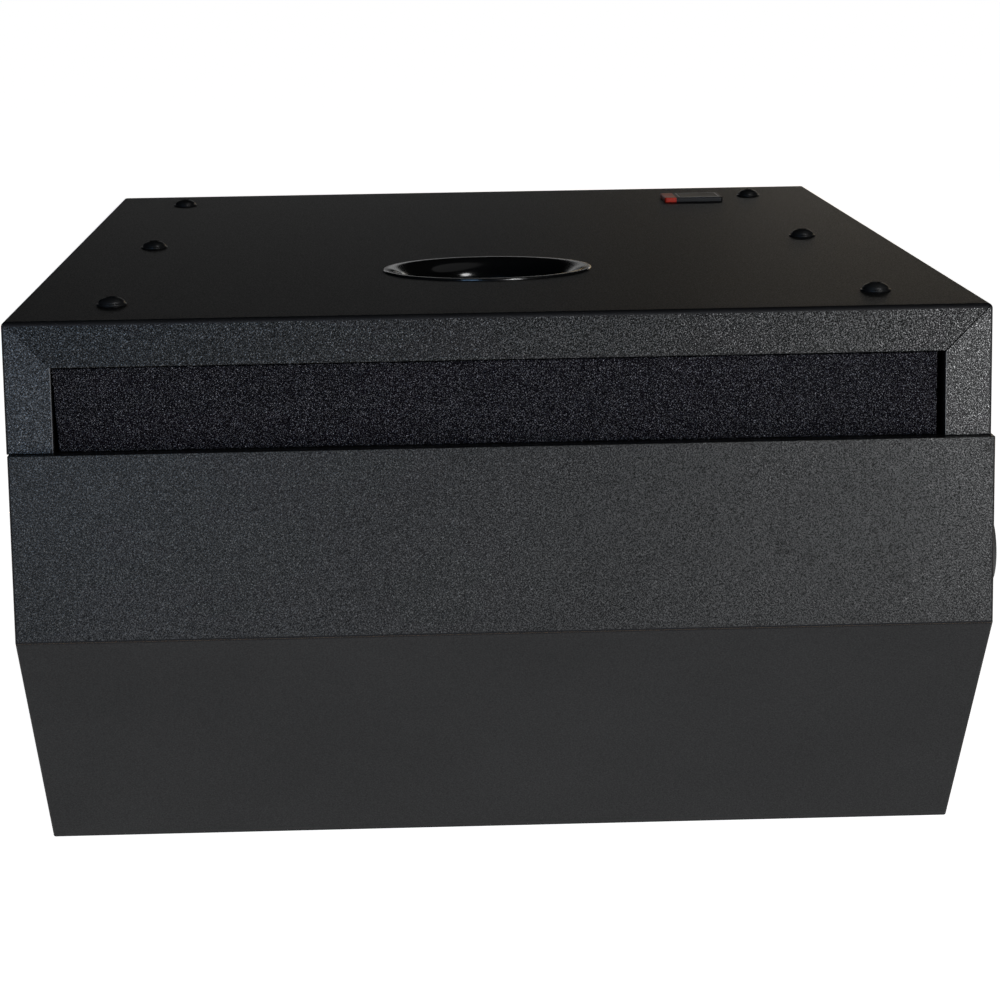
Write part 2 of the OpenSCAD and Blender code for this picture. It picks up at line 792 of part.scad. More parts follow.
module crossover_knob() {
    color([0.06, 0.06, 0.06]) knob(crossover_spot);
}

module boost_knob() {
    color([0.06, 0.06, 0.06]) knob(boost_spot);
}

module phase_switch_housing() {
    color([0.5, 0.5, 0.5])
    difference() {
        amp_block(phase_spot, 20, 10, plate_y - 8, plate_y);
        amp_block(phase_spot, 2 * phase_travel + 1, 4.4, plate_y - 5, plate_y + 1);
    }
}

// At rest the slider is at its left-hand stop, seen from the near side
module phase_slider() {
    color([0.1, 0.1, 0.1])
    amp_block(phase_spot - [phase_travel / 2, 0], phase_travel, 3.6, plate_y - 4.5, face_y + 4);
}

module rca_sockets() {
    color([0.75, 0.72, 0.6])
    for (s = rca_spots) {
        on_amp(s, 0) tube(rca_r, rca_r - 0.5, plate_y - 2, face_y + rca_l);
        on_amp(s, 0) tube(5, rca_r, plate_y - 2, face_y);
        on_amp(s, 0) tube(6.2, rca_r, face_y, face_y + 0.8);
    }
}

module rca_inserts() {
    color([0.9, 0.9, 0.9])
    for (s = rca_spots) on_amp(s, 0) tube(rca_r - 0.5, 1.6, plate_y - 9, face_y + rca_l - 0.6);
}

socket_d = 9;

// A four-pin socket for speaker-level input, and a square jack for the remote level control
module input_sockets() {
    color([0.03, 0.03, 0.03]) {
        difference() {
            amp_block(high_spot, 24, 12, plate_y - socket_d, face_y + 5);
            amp_block(high_spot, 20.6, 8.6, face_y - 6, face_y + 6);
        }
        for (k = [-1.5, -0.5, 0.5, 1.5])
            amp_block(high_spot + [k * 5, 0], 0.8, 0.8, face_y - 6, face_y - 1);
        difference() {
            amp_block(remote_spot, 15, 13, plate_y - socket_d, face_y + 1);
            amp_block(remote_spot, 11.8, 8.8, face_y - 10, face_y + 2);
        }
    }
}

// A barrier strip with three wells, each holding a screw
module power_terminals() {
    w = 3 * terminal_pitch + 6;
    color([0.03, 0.03, 0.03])
    difference() {
        amp_block(terminal_spot, w, 20, face_y, face_y + 15);
        for (k = [-1, 0, 1]) {
            amp_block(terminal_spot + [k * terminal_pitch, -3], 11.5, 17, face_y + 7, face_y + 16);
            on_amp(terminal_spot + [k * terminal_pitch, 0], face_y - 1)
                cylinder(h = 10, r = 2.6, $fn = small_fn);
        }
    }
}

module terminal_screws() {
    color([0.78, 0.75, 0.65])
    for (k = [-1, 0, 1]) {
        spot = terminal_spot + [k * terminal_pitch, 0];
        difference() {
            amp_block(spot - [0, 1.5], 9.6, 10, face_y + 7, face_y + 8);
            on_amp(spot, face_y + 6) cylinder(h = 4, r = 2.6, $fn = small_fn);
        }
        on_amp(spot, face_y + 8) mirror([0, 0, 1]) cross_screw(4.2, 3, 2.5, 12);
    }
}

fuse_gap = 0.4;
blade_w = 5.2;
blade_t = 0.7;
blade_x = 6.6;

module fuse_holder() {
    color([0.04, 0.04, 0.04])
    difference() {
        amp_block(fuse_spot, 24, 10, plate_y - 8, face_y + 7);
        amp_block(fuse_spot, 19 + 2 * fuse_gap, 5 + 2 * fuse_gap, plate_y + 1, face_y + 8);
        for (side = [-1, 1])
            amp_block(fuse_spot + [side * blade_x, 0], blade_w + 2 * fuse_gap, blade_t + 2 * fuse_gap,
                      plate_y - 7, plate_y + 2);
    }
}

// A blade fuse: a plastic body with two blades
module fuse() {
    color([0.2, 0.6, 0.2]) {
        amp_block(fuse_spot, 19, 5, plate_y + 1 + fuse_gap, face_y + 12);
        for (side = [-1, 1])
            amp_block(fuse_spot + [side * blade_x, 0], blade_w, blade_t, plate_y - 6, plate_y + 1 + fuse_gap);
    }
}

module indicator_lenses() {
    color([0.1, 0.6, 0.15])
    for (s = lens_spots) on_amp(s, plate_y - 4) rotate_extrude($fn = small_fn) polygon([
        [0, 0], [1.6, 0], [1.6, 7.4], [1.3, 8.2], [0.7, 8.7], [0, 8.9]
    ]);
}

module amp_screws() {
    color([0.05, 0.05, 0.05])
    for (s = amp_screw_spots) on_amp(s, face_y) mirror([0, 0, 1]) cross_screw(3.6, 2.4, wood_screw_r, 17);
}

top_plate();
cover_left_rail();
cover_right_rail();
cover_rear_rail();
spacer_blocks();
slot_foam();
near_panel();
slanted_panel();
bottom_panel();
rear_panel();
left_side_panel();
right_side_panel();
inner_baffle();
damping_wadding();
cover_bolts();
tee_nuts();
port_flange();
port_tube();
port_inner_flare();
badge_plate();
badge_stripe();
bottom_feet();
side_feet();
foot_screws();
woofer_basket();
woofer_gasket();
woofer_surround();
woofer_cone();
dust_cap();
spider();
coil_former();
voice_coil();
motor_top_plate();
magnet();
yoke();
woofer_screws();
woofer_terminals();
speaker_lead();
amp_plate();
amp_gasket();
heatsink();
amp_board();
toroid();
capacitors();
transistors();
potentiometers();
gain_knob();
crossover_knob();
boost_knob();
phase_switch_housing();
phase_slider();
rca_sockets();
rca_inserts();
input_sockets();
power_terminals();
terminal_screws();
fuse_holder();
fuse();
indicator_lenses();
amp_screws();
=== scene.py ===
"""The looks of a powered car subwoofer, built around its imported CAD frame. Lengths are in metres."""

import json
import math

import bmesh
import bpy
from mathutils import Matrix, Vector, noise


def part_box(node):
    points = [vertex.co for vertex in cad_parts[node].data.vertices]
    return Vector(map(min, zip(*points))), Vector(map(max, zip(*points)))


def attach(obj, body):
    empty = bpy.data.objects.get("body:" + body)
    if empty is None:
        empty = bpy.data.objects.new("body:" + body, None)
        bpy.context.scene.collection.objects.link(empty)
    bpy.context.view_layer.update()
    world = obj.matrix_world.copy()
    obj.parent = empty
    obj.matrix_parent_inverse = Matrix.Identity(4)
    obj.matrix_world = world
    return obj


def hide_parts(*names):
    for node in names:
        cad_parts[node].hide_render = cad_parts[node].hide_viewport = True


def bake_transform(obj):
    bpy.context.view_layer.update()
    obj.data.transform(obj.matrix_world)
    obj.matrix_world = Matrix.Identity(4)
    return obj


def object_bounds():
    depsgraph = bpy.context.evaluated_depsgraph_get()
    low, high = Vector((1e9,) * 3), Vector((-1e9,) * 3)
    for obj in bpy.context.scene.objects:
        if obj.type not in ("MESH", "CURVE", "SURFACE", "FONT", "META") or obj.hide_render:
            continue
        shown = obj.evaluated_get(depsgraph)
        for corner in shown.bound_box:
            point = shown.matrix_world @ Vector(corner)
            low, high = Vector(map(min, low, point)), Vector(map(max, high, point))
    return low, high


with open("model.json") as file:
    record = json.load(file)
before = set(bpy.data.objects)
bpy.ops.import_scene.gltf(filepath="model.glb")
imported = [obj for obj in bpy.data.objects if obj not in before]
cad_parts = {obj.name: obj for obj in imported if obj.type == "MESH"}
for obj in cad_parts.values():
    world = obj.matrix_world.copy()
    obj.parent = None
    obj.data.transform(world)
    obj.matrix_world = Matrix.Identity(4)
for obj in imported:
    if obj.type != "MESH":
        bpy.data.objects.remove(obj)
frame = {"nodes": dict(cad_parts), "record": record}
cad_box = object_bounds()

MM = 0.001
RECORD = frame["record"]
SLOT = {part["node"]: part["material_slot"] for part in RECORD["subparts"]}
BODY = {node: body for body, nodes in RECORD["behaviour"]["bodies"].items() for node in nodes}

# The cover's and the main box's outer planes, from the frame
top_lo, top_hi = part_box("top_plate")
COVER_X = (top_lo.x, top_hi.x)
NEAR, FAR = top_lo.y, top_hi.y
SLOT_TOP, TOP = top_lo.z, top_hi.z
BOARD = TOP - SLOT_TOP
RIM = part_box("cover_left_rail")[0].z
band_lo, band_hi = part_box("near_panel")
BOX_X = (band_lo.x, band_hi.x)
BAND, BAND_FOOT = band_lo.y, band_lo.z
SLANT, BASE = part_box("bottom_panel")[0].y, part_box("bottom_panel")[0].z
MIDDLE = (cad_box[0] + cad_box[1]) / 2


# ---------------------------------------------------------------- camera, lights and floor

def add_camera():
    """The photographer's place: a little above the top face, in front of its near edge."""
    near_edge_middle = Vector(((top_lo.x + top_hi.x) / 2, NEAR, TOP))
    from_near_edge = Vector((-0.0404, -1.2404, 0.1521))
    yaw, pitch, roll = math.radians(-1.825), math.radians(10.443), math.radians(-0.885)
    right = Vector((math.cos(yaw), math.sin(yaw), 0))
    ahead = Vector((-math.sin(yaw) * math.cos(pitch), math.cos(yaw) * math.cos(pitch), -math.sin(pitch)))
    turn = Matrix.Rotation(-roll, 3, ahead)
    right = turn @ right
    pose = Matrix((right, right.cross(ahead), -ahead)).transposed().to_4x4()
    pose.translation = near_edge_middle + from_near_edge
    data = bpy.data.cameras.new("camera")
    data.lens = 111.61
    data.sensor_width = 36
    data.clip_end = 200
    camera = bpy.data.objects.new("camera", data)
    camera.matrix_world = pose
    bpy.context.scene.collection.objects.link(camera)
    bpy.context.scene.camera = camera


def add_softbox(name, azimuth, elevation, distance, width, height, watts, tint=(1, 1, 1)):
    """A soft light aimed at the cabinet. Azimuth 0 is the near side and 90 the right, in degrees."""
    a, e = math.radians(azimuth), math.radians(elevation)
    away = Vector((math.sin(a) * math.cos(e), -math.cos(a) * math.cos(e), math.sin(e)))
    data = bpy.data.lights.new(name, "AREA")
    data.shape = "ELLIPSE"
    data.size = width
    data.size_y = height
    data.energy = watts
    data.color = tint
    light = bpy.data.objects.new(name, data)
    light.location = MIDDLE + away * distance
    light.rotation_euler = away.to_track_quat("Z", "Y").to_euler()
    bpy.context.scene.collection.objects.link(light)


def add_studio():
    """A white floor that glows, a dark room round it, and soft lights."""
    world = bpy.data.worlds.new("room")
    world.use_nodes = True
    background = world.node_tree.nodes["Background"]
    background.inputs["Color"].default_value = (0.5, 0.5, 0.52, 1)
    background.inputs["Strength"].default_value = 0.002
    bpy.context.scene.world = world
    bpy.context.scene.view_settings.view_transform = "Standard"

    warm, cool = (1, 0.72, 0.36), (0.35, 0.62, 1)
    add_softbox("key_light", 31, 34, 2.4, 0.5, 0.5, 5)
    add_softbox("low_right_light", 26, 2, 2.3, 0.5, 0.5, 26)
    add_softbox("fill_light", -19, 6, 2.5, 0.8, 0.6, 9, cool)
    add_softbox("side_light", 84, 65, 2.6, 2.0, 2.0, 1.0)
    add_softbox("back_strip_light", 163, 4, 3.4, 1.7, 0.4, 1.3, warm)
    add_softbox("back_right_light", 155, 16, 1.1, 0.5, 0.2, 0.17, (1, 0.95, 0.88))
    add_softbox("back_left_light", 185, 18, 1.2, 0.9, 0.2, 0.18)

    bpy.ops.mesh.primitive_plane_add(size=120)
    floor = bpy.context.object
    floor.name = "floor"
    paper = Shader("white_paper", (0.82, 0.82, 0.82), 0.9)
    paper.set("Emission Color", (1, 1, 1, 1))
    paper.set("Emission Strength", 1.0)
    paper.relief(paper.noise(900), 0.05 * MM, 0.2)
    floor.data.materials.append(paper.material)


# ---------------------------------------------------------------- materials

class Shader:
    """A material with a Principled surface, and short calls for the nodes that feed it."""

    def __init__(self, name, colour, roughness, **sockets):
        self.material = bpy.data.materials.new(name)
        self.material.use_nodes = True
        self.tree = self.material.node_tree
        self.surface = self.tree.nodes["Principled BSDF"]
        self.place = self.node("TexCoord").outputs["Object"]
        self.set("Base Color", (*colour, 1))
        self.set("Roughness", roughness)
        for socket, value in sockets.items():
            self.set(socket.replace("_", " "), value)
        self.material.diffuse_color = (*colour, 1)
        self.colour = Vector(colour)

    def node(self, kind, inputs=None, **settings):
        """Adds a node. Each input is a plain value or another node's output socket."""
        made = self.tree.nodes.new("ShaderNode" + kind)
        for key, value in settings.items():
            setattr(made, key, value)
        for key, value in (inputs or {}).items():
            if isinstance(value, bpy.types.NodeSocket):
                self.tree.links.new(value, made.inputs[key])
            else:
                made.inputs[key].default_value = value
        return made

    def set(self, socket, value):
        if isinstance(value, bpy.types.NodeSocket):
            self.tree.links.new(value, self.surface.inputs[socket])
        else:
            self.surface.inputs[socket].default_value = value

    def stretched(self, x, y, z):
        """The place on the piece, scaled on each axis."""
        return self.node("Mapping", {"Vector": self.place, "Scale": (x, y, z)}).outputs["Vector"]

    def askew(self):
        """The place on the piece, turned so that no flat face lies along the noise's own grid."""
        return self.node("Mapping", {"Vector": self.place, "Rotation": (0.5, 0.7, 0.3)}).outputs["Vector"]

    def noise(self, scale, detail=3, roughness=0.55, place=None):
        inputs = {"Vector": place or self.place, "Scale": scale, "Detail": detail, "Roughness": roughness}
        return self.node("TexNoise", inputs).outputs["Fac"]

    def cells(self, scale, feature="F1"):
        inputs = {"Vector": self.place, "Scale": scale}
        return self.node("TexVoronoi", inputs, feature=feature).outputs["Distance"]

    def waves(self, scale, direction):
        inputs = {"Vector": self.place, "Scale": scale}
        return self.node("TexWave", inputs, bands_direction=direction).outputs["Fac"]

    def spread(self, value, low, high, to_low=0.0, to_high=1.0):
        """Maps a stretch of a value to another, held at both ends."""
        inputs = {"Value": value, "From Min": low, "From Max": high, "To Min": to_low, "To Max": to_high}
        return self.node("MapRange", inputs).outputs["Result"]

    def math(self, operation, a, b):
        return self.node("Math", {0: a, 1: b}, operation=operation).outputs["Value"]

    def mix(self, share, a, b):
        """A colour between two, each a tuple or a socket."""
        made = self.node("Mix", {"Factor": share}, data_type="RGBA")
        for socket, value in zip([s for s in made.inputs if s.type == "RGBA"], (a, b)):
            if isinstance(value, bpy.types.NodeSocket):
                self.tree.links.new(value, socket)
            else:
                socket.default_value = (*value, 1)
        return next(s for s in made.outputs if s.type == "RGBA")

    def scaled(self, colour, factor):
        """A colour times a varying number."""
        made = self.node("VectorMath", {0: tuple(colour)}, operation="SCALE")
        self.tree.links.new(factor, made.inputs["Scale"])
        return made.outputs["Vector"]

    def relief(self, height, depth, strength=1.0):
        """Bumps as high as the depth, from a height of 0 to 1."""
        inputs = {"Height": height, "Distance": depth, "Strength": strength}
        self.set("Normal", self.node("Bump", inputs).outputs["Normal"])


def mottled(name, colour, roughness, grain, depth, contrast=0.3, **sockets):
    """Moulded, cast or coated stuff: fine grain in tone and relief, and a slow drift of gloss."""
    s = Shader(name, colour, roughness, **sockets)
    fine = s.noise(1 / grain, 4, 0.6)
    drift = s.noise(0.02 / grain, 2)
    dark, light = s.colour * (1 - contrast), s.colour * (1 + contrast)
    s.set("Base Color", s.mix(s.spread(fine, 0.3, 0.7), dark, light))
    s.set("Roughness", s.spread(drift, 0.35, 0.65, roughness - 0.06, roughness + 0.08))
    s.relief(fine, depth)
    return s.material


def vinyl(name, colour, grain, depth, roughness, contrast, gloss, dust=0.0, flake=0.0):
    """Textured vinyl: fine pebbles with painted light and shade, lighter on top and darker between, a slow
    drift, and dust marks.
    Contrast is how many times brighter the highest pebbles are than the middle ones, and so how strong the
    grain's painted glints are, and flake is the share of the shine that takes the pebbles' own tone."""
    s = Shader(name, colour, roughness, Specular_IOR_Level=gloss, Metallic=flake)
    pebbles = s.noise(1 / grain, 1, 0.5, s.askew())
    drift = s.spread(s.noise(14, 3), 0.3, 0.7, 0.93, 1.07)
    # painted light and shade: the pebbles' tone is lighter where the bumps are high and darker between, and
    # at high contrast it paints the grain's glints
    tone = s.math("MULTIPLY", s.math("POWER", contrast, s.spread(pebbles, 0.25, 0.75, -1, 1)), drift)
    if dust:
        marks = s.noise(34, 5, 0.6, s.stretched(1, 1, 1.7))
        tone = s.math("MULTIPLY", tone, s.spread(marks, 0.66, 0.74, 1, 1 - dust))
    s.set("Base Color", s.scaled(s.colour, tone))
    s.set("Roughness", s.spread(pebbles, 0.35, 0.65, roughness + 0.1, roughness - 0.08))
    s.relief(pebbles, depth)
    return s.material


def fibre_board(name, colour):
    """Bare MDF: pressed fibres in short streaks, with darker flecks."""
    s = Shader(name, colour, 0.85)
    streaks = s.noise(900, 4, 0.6, s.stretched(0.35, 0.5, 1.6))
    flecks = s.spread(s.cells(700), 0.05, 0.2, 0.5, 0)
    s.set("Base Color", s.mix(flecks, s.mix(streaks, s.colour * 0.72, s.colour * 1.2), s.colour * 0.4))
    s.relief(streaks, 0.15 * MM)
    return s.material


def open_foam(name, colour):
    """Open-cell foam: deep pits between thin struts, with painted shade in the pits and painted glints here
    and there.
    """
    s = Shader(name, colour, 0.55, Specular_IOR_Level=0.05, Metallic=0.5)
    struts = s.cells(1050, "DISTANCE_TO_EDGE")
    painted_glints = s.spread(s.noise(2400, 1, 0.5, s.askew()), 0.55, 0.75)
    pits = s.spread(struts, 0.02, 0.26)
    # the pits are painted darker: painted shade in the pits
    base = s.mix(pits, s.colour, s.colour * 0.1)
    # painted glints: pale flecks where the struts would catch the light
    shine = sum(s.colour) * 9
    s.set("Base Color", s.mix(painted_glints, base, (shine, shine, shine * 1.1)))
    s.relief(pits, -0.3 * MM)
    return s.material


def wadding_fibres(name, colour):
    """Polyester fibres that run every way."""
    s = Shader(name, colour, 0.9, Sheen_Weight=0.4)
    one = s.noise(400, 5, 0.7, s.stretched(0.2, 1, 1))
    other = s.noise(400, 5, 0.7, s.stretched(1, 0.2, 1))
    fibres = s.math("MAXIMUM", one, other)
    s.set("Base Color", s.mix(s.spread(fibres, 0.4, 0.7), s.colour * 0.7, s.colour))
    s.relief(fibres, 0.8 * MM)
    return s.material


def metal(name, colour, roughness, grain, streak=(1, 1, 1)):
    """Bare or plated metal: grain or brush marks that change its gloss, and spangles of tone."""
    s = Shader(name, colour, roughness, Metallic=1.0)
    brushed = s.noise(1 / grain, 4, 0.6, s.stretched(*streak))
    spangle = s.cells(0.12 / grain)
    s.set("Base Color", s.mix(s.spread(spangle, 0.1, 0.9), s.colour * 0.8, s.colour * 1.08))
    s.set("Roughness", s.spread(brushed, 0.3, 0.7, roughness - 0.08, roughness + 0.12))
    s.relief(brushed, 0.02 * MM)
    return s.material


def wound(name, colour, pitch):
    """Varnished wire wound round Z in even turns."""
    s = Shader(name, colour, 0.3, Metallic=0.9, Coat_Weight=0.5)
    turns = s.waves(1 / (20 * pitch), "Z")
    # darker between the turns: painted shade in the grooves between the wires
    s.set("Base Color", s.mix(turns, s.colour * 0.45, s.colour * 1.1))
    s.set("Roughness", s.spread(turns, 0, 1, 0.55, 0.25))
    s.relief(turns, 0.3 * pitch)
    return s.material


def wound_ring(name, colour, centre):
    """Varnished wire wound round a ring whose axis is Y: the turns run out from its middle."""
    s = Shader(name, colour, 0.3, Metallic=0.85, Coat_Weight=0.6)
    shifted = s.node("Mapping", {"Vector": s.place, "Location": -centre, "Rotation": (math.pi / 2, 0, 0)})
    around = s.node("TexGradient", {"Vector": shifted.outputs["Vector"]}, gradient_type="RADIAL")
    turns = 70
    angle = s.math("MULTIPLY", around.outputs["Fac"], 2 * turns * math.pi)
    wave = s.node("Math", {0: angle}, operation="SINE").outputs["Value"]
    wires = s.spread(wave, -1, 1)
    # darker between the wires: painted shade in the grooves between the turns
    s.set("Base Color", s.mix(wires, s.colour * 0.4, s.colour * 1.15))
    s.relief(wires, 0.25 * MM)
    return s.material


def woven(name, colour, pitch):
    """Plain-woven cloth stiffened with resin."""
    s = Shader(name, colour, 0.7, Sheen_Weight=0.2)
    weave = s.math("MULTIPLY", s.waves(1 / (20 * pitch), "X"), s.waves(1 / (20 * pitch), "Y"))
    stain = s.noise(60, 3)
    # darker between the threads: painted shade, with a random stain in how dark it is
    s.set("Base Color", s.mix(weave, s.mix(stain, s.colour * 0.4, s.colour * 0.6), s.colour * 1.15))
    s.relief(weave, 0.12 * MM)
    return s.material


def pressed_pulp(name, colour):
    """A paper cone: matted fibres under a thin coat, with a little loss of colour."""
    s = Shader(name, colour, 0.62, Specular_IOR_Level=0.35)
    mat = s.noise(500, 6, 0.75)
    strands = s.spread(s.cells(260, "DISTANCE_TO_EDGE"), 0, 0.06, 0.45, 0)
    s.set("Base Color", s.mix(strands, s.mix(mat, s.colour * 0.6, s.colour * 1.5), s.colour * 2.6))
    s.relief(mat, 0.12 * MM)
    return s.material


def circuit_board(name, colour):
    """A lacquered board: copper tracks and pads that show paler under the green."""
    s = Shader(name, colour, 0.3, Coat_Weight=0.4)
    tracks = s.spread(s.cells(160, "DISTANCE_TO_EDGE"), 0.03, 0.06, 1, 0)
    pads = s.spread(s.cells(330), 0.16, 0.2, 1, 0)
    green = s.mix(tracks, s.colour, s.colour * 2.2)
    s.set("Base Color", s.mix(pads, green, (0.6, 0.58, 0.5)))
    s.relief(tracks, 0.04 * MM)
    return s.material


def printed_sleeve(name, colour):
    """A printed shrink sleeve on a can: satin, with a paler stripe down one side."""
    s = Shader(name, colour, 0.32, Coat_Weight=0.3)
    stripe = s.spread(s.waves(1.9, "X"), 0.93, 0.96)
    creases = s.noise(220, 3, 0.5, s.stretched(0.3, 2, 0.3))
    s.set("Base Color", s.mix(stripe, s.mix(creases, s.colour * 0.8, s.colour * 1.2), (0.35, 0.37, 0.42)))
    s.relief(creases, 0.08 * MM)
    return s.material


def clear_tint(name, colour, glow=0.0):
    """Tinted clear plastic with faint flow marks."""
    s = Shader(name, colour, 0.12, Transmission_Weight=0.55, IOR=1.49)
    flow = s.noise(180, 2, 0.5, s.stretched(1, 0.3, 1))
    s.set("Base Color", s.mix(flow, s.colour * 0.8, s.colour * 1.1))
    s.set("Emission Color", (*colour, 1))
    s.set("Emission Strength", glow)
    s.relief(flow, 0.03 * MM)
    return s.material


def add_finishes():
    """One finish for each of the record's material slots, and a few that only the looks need."""
    toroid_lo, toroid_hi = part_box("toroid")
    grain, fine = 0.5 * MM, 0.6 * MM
    return {
        # The board, rail, bar, smooth and slant vinyls are one vinyl, with tone and grain contrast set for
        # each face's light: lit and shaded copies, as painted light and shade.
        "vinyl_board": vinyl("vinyl_grained", (0.0211, 0.0213, 0.0214), grain, 0.08 * MM, 0.35, 4.4, 0.1,
                             dust=0.5, flake=0.7),
        "vinyl_rail_lit": vinyl("vinyl_grained_rail_lit", (0.0237, 0.0238, 0.0240), grain, 0.10 * MM, 0.35, 6, 0.1,
                            flake=0.7),
        "vinyl_bar_shaded": vinyl("vinyl_grained_bar_shaded", (0.0127, 0.0128, 0.0129), grain, 0.12 * MM, 0.35, 9, 0.1,
                           flake=0.7),
        "vinyl_smooth_shaded": vinyl("vinyl_smooth_shaded", (0.0125, 0.0125, 0.012), fine, 0.01 * MM, 0.5, 1.35, 0.136),
        "vinyl_slant_shaded": vinyl("vinyl_slant_shaded", (0.0162, 0.0162, 0.0162), fine, 0.01 * MM, 0.5, 1.35, 0.03),
        # the fold finish is the vinyl painted much darker: painted shade on the rounded edges, and on the
        # cover's inner and mitre faces
        "vinyl_fold_shaded": mottled("vinyl_fold_shaded", (0.005, 0.005, 0.0055), 0.5, 0.5 * MM, 0.01 * MM,
                              Specular_IOR_Level=0.12),
        # the arris finish is a lighter copy of the vinyl: a painted highlight along the rails' rounded edges
        # at the opening
        "vinyl_arris_lit": mottled("vinyl_arris_lit", (0.045, 0.045, 0.047), 0.35, 0.4 * MM, 0.02 * MM, 0.5),
        "raw_board": fibre_board("bare_board", (0.42, 0.29, 0.17)),
        "slot_foam": open_foam("slot_foam_cells", (0.0054, 0.0047, 0.0074)),
        "wadding": wadding_fibres("wadding_fibres", (0.82, 0.82, 0.78)),
        "bolt_black": mottled("bolt_black_oxide", (0.012, 0.012, 0.012), 0.36, 0.3 * MM, 0.01 * MM),
        "zinc_steel": metal("zinc_plate", (0.62, 0.62, 0.6), 0.32, 0.25 * MM),
        "port_black": mottled("port_gloss_plastic", (0.008, 0.008, 0.008), 0.14, 0.9 * MM, 0.004 * MM,
                              Specular_IOR_Level=0.9),
        "tube_black": mottled("port_tube_plastic", (0.016, 0.016, 0.016), 0.45, 0.5 * MM, 0.02 * MM),
        "badge_black": mottled("badge_gloss_black", (0.012, 0.012, 0.013), 0.4, 0.6 * MM, 0.003 * MM,
                               Specular_IOR_Level=0.3),
        "badge_red": mottled("badge_red_enamel", (0.75, 0.045, 0.02), 0.3, 0.5 * MM, 0.004 * MM, 0.12,
                             Specular_IOR_Level=0.3),
        "badge_silver": mottled("badge_silver_ink", (0.6, 0.6, 0.6), 0.5, 0.4 * MM, 0.003 * MM, 0.1,
                                Specular_IOR_Level=0.1),
        "foot_rubber": mottled("foot_rubber_moulded", (0.016, 0.016, 0.016), 0.62, 0.3 * MM, 0.03 * MM),
        "frame_black": mottled("frame_powder_coat", (0.022, 0.022, 0.022), 0.5, 0.25 * MM, 0.03 * MM),
        "gasket_foam": open_foam("gasket_foam_cells", (0.02, 0.02, 0.02)),
        "surround_rubber": mottled("surround_rubber_moulded", (0.014, 0.014, 0.014), 0.5, 0.35 * MM,
                                   0.02 * MM),
        "cone_pulp": pressed_pulp("cone_paper", (0.022, 0.021, 0.020)),
        "spider_cloth": woven("spider_weave", (0.6, 0.42, 0.14), 0.7 * MM),
        "former_film": mottled("former_film_amber", (0.62, 0.36, 0.1), 0.28, 0.8 * MM, 0.01 * MM, 0.15,
                               Coat_Weight=0.4),
        "coil_copper": wound("coil_wire", (0.72, 0.3, 0.12), 0.35 * MM),
        "plated_iron": metal("plated_iron_turned", (0.55, 0.55, 0.56), 0.36, 0.3 * MM, (1, 1, 4)),
        "ferrite": mottled("ferrite_pressed", (0.06, 0.06, 0.065), 0.66, 0.6 * MM, 0.08 * MM),
        "terminal_strip": fibre_board("terminal_fibre", (0.5, 0.3, 0.1)),
        "lead_red": mottled("lead_insulation", (0.5, 0.02, 0.02), 0.4, 0.7 * MM, 0.02 * MM, 0.15),
        "amp_panel": mottled("amp_panel_coat", (0.021, 0.021, 0.022), 0.46, 0.35 * MM, 0.035 * MM),
        "heatsink_black": metal("heatsink_anodised", (0.035, 0.035, 0.038), 0.42, 0.3 * MM, (1, 1, 0.1)),
        "circuit_board": circuit_board("amp_board_lacquer", (0.01, 0.12, 0.04)),
        "toroid_copper": wound_ring("toroid_wire", (0.7, 0.28, 0.1), (toroid_lo + toroid_hi) / 2),
        "capacitor_sleeve": printed_sleeve("capacitor_sleeve_film", (0.02, 0.022, 0.07)),
        "transistor_epoxy": mottled("transistor_epoxy_moulded", (0.02, 0.02, 0.02), 0.55, 0.2 * MM,
                                    0.03 * MM),
        "pot_metal": metal("pot_housing", (0.5, 0.5, 0.48), 0.4, 0.2 * MM),
        "knob_black": mottled("knob_moulded", (0.018, 0.018, 0.019), 0.45, 0.2 * MM, 0.03 * MM),
        "slider_black": mottled("slider_moulded", (0.02, 0.02, 0.02), 0.42, 0.2 * MM, 0.02 * MM),
        "nickel": metal("nickel_plate", (0.72, 0.68, 0.58), 0.22, 0.3 * MM),
        "insert_white": mottled("insert_white_plastic", (0.78, 0.78, 0.74), 0.35, 0.3 * MM, 0.01 * MM, 0.06),
        "insert_red": mottled("insert_red_plastic", (0.6, 0.02, 0.02), 0.35, 0.3 * MM, 0.01 * MM, 0.1),
        "socket_black": mottled("socket_moulded", (0.017, 0.017, 0.018), 0.4, 0.3 * MM, 0.02 * MM),
        "fuse_green": clear_tint("fuse_body_clear", (0.1, 0.55, 0.15)),
        "lens_green": clear_tint("lens_clear", (0.08, 0.6, 0.14), 0.3),
        "screw_black": mottled("screw_black_oxide", (0.014, 0.014, 0.014), 0.34, 0.25 * MM, 0.015 * MM),
        "panel_print": mottled("panel_ink", (0.62, 0.62, 0.62), 0.6, 0.2 * MM, 0.005 * MM, 0.1),
    }


# ---------------------------------------------------------------- mesh helpers

def add_mesh(name, bm, materials, sharp=35):
    """Turns a bmesh into an object with smooth faces, and hard edges past an angle in degrees."""
    bmesh.ops.recalc_face_normals(bm, faces=bm.faces)
    mesh = bpy.data.meshes.new(name)
    bm.to_mesh(mesh)
    bm.free()
    for material in materials:
        mesh.materials.append(material)
    mesh.shade_smooth()
    mesh.set_sharp_from_angle(angle=math.radians(sharp))
    obj = bpy.data.objects.new(name, mesh)
    bpy.context.scene.collection.objects.link(obj)
    obj.modifiers.new("even_shading", "WEIGHTED_NORMAL").keep_sharp = True
    return obj


def stand_in(node, bm, *materials, sharp=35):
    """A finished piece that stands for a CAD node, on the same body and with the same slot."""
    obj = add_mesh(node + "_look", bm, materials or [FINISH[SLOT[node]]], sharp)
    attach(obj, BODY[node])
    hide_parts(node)
    return obj


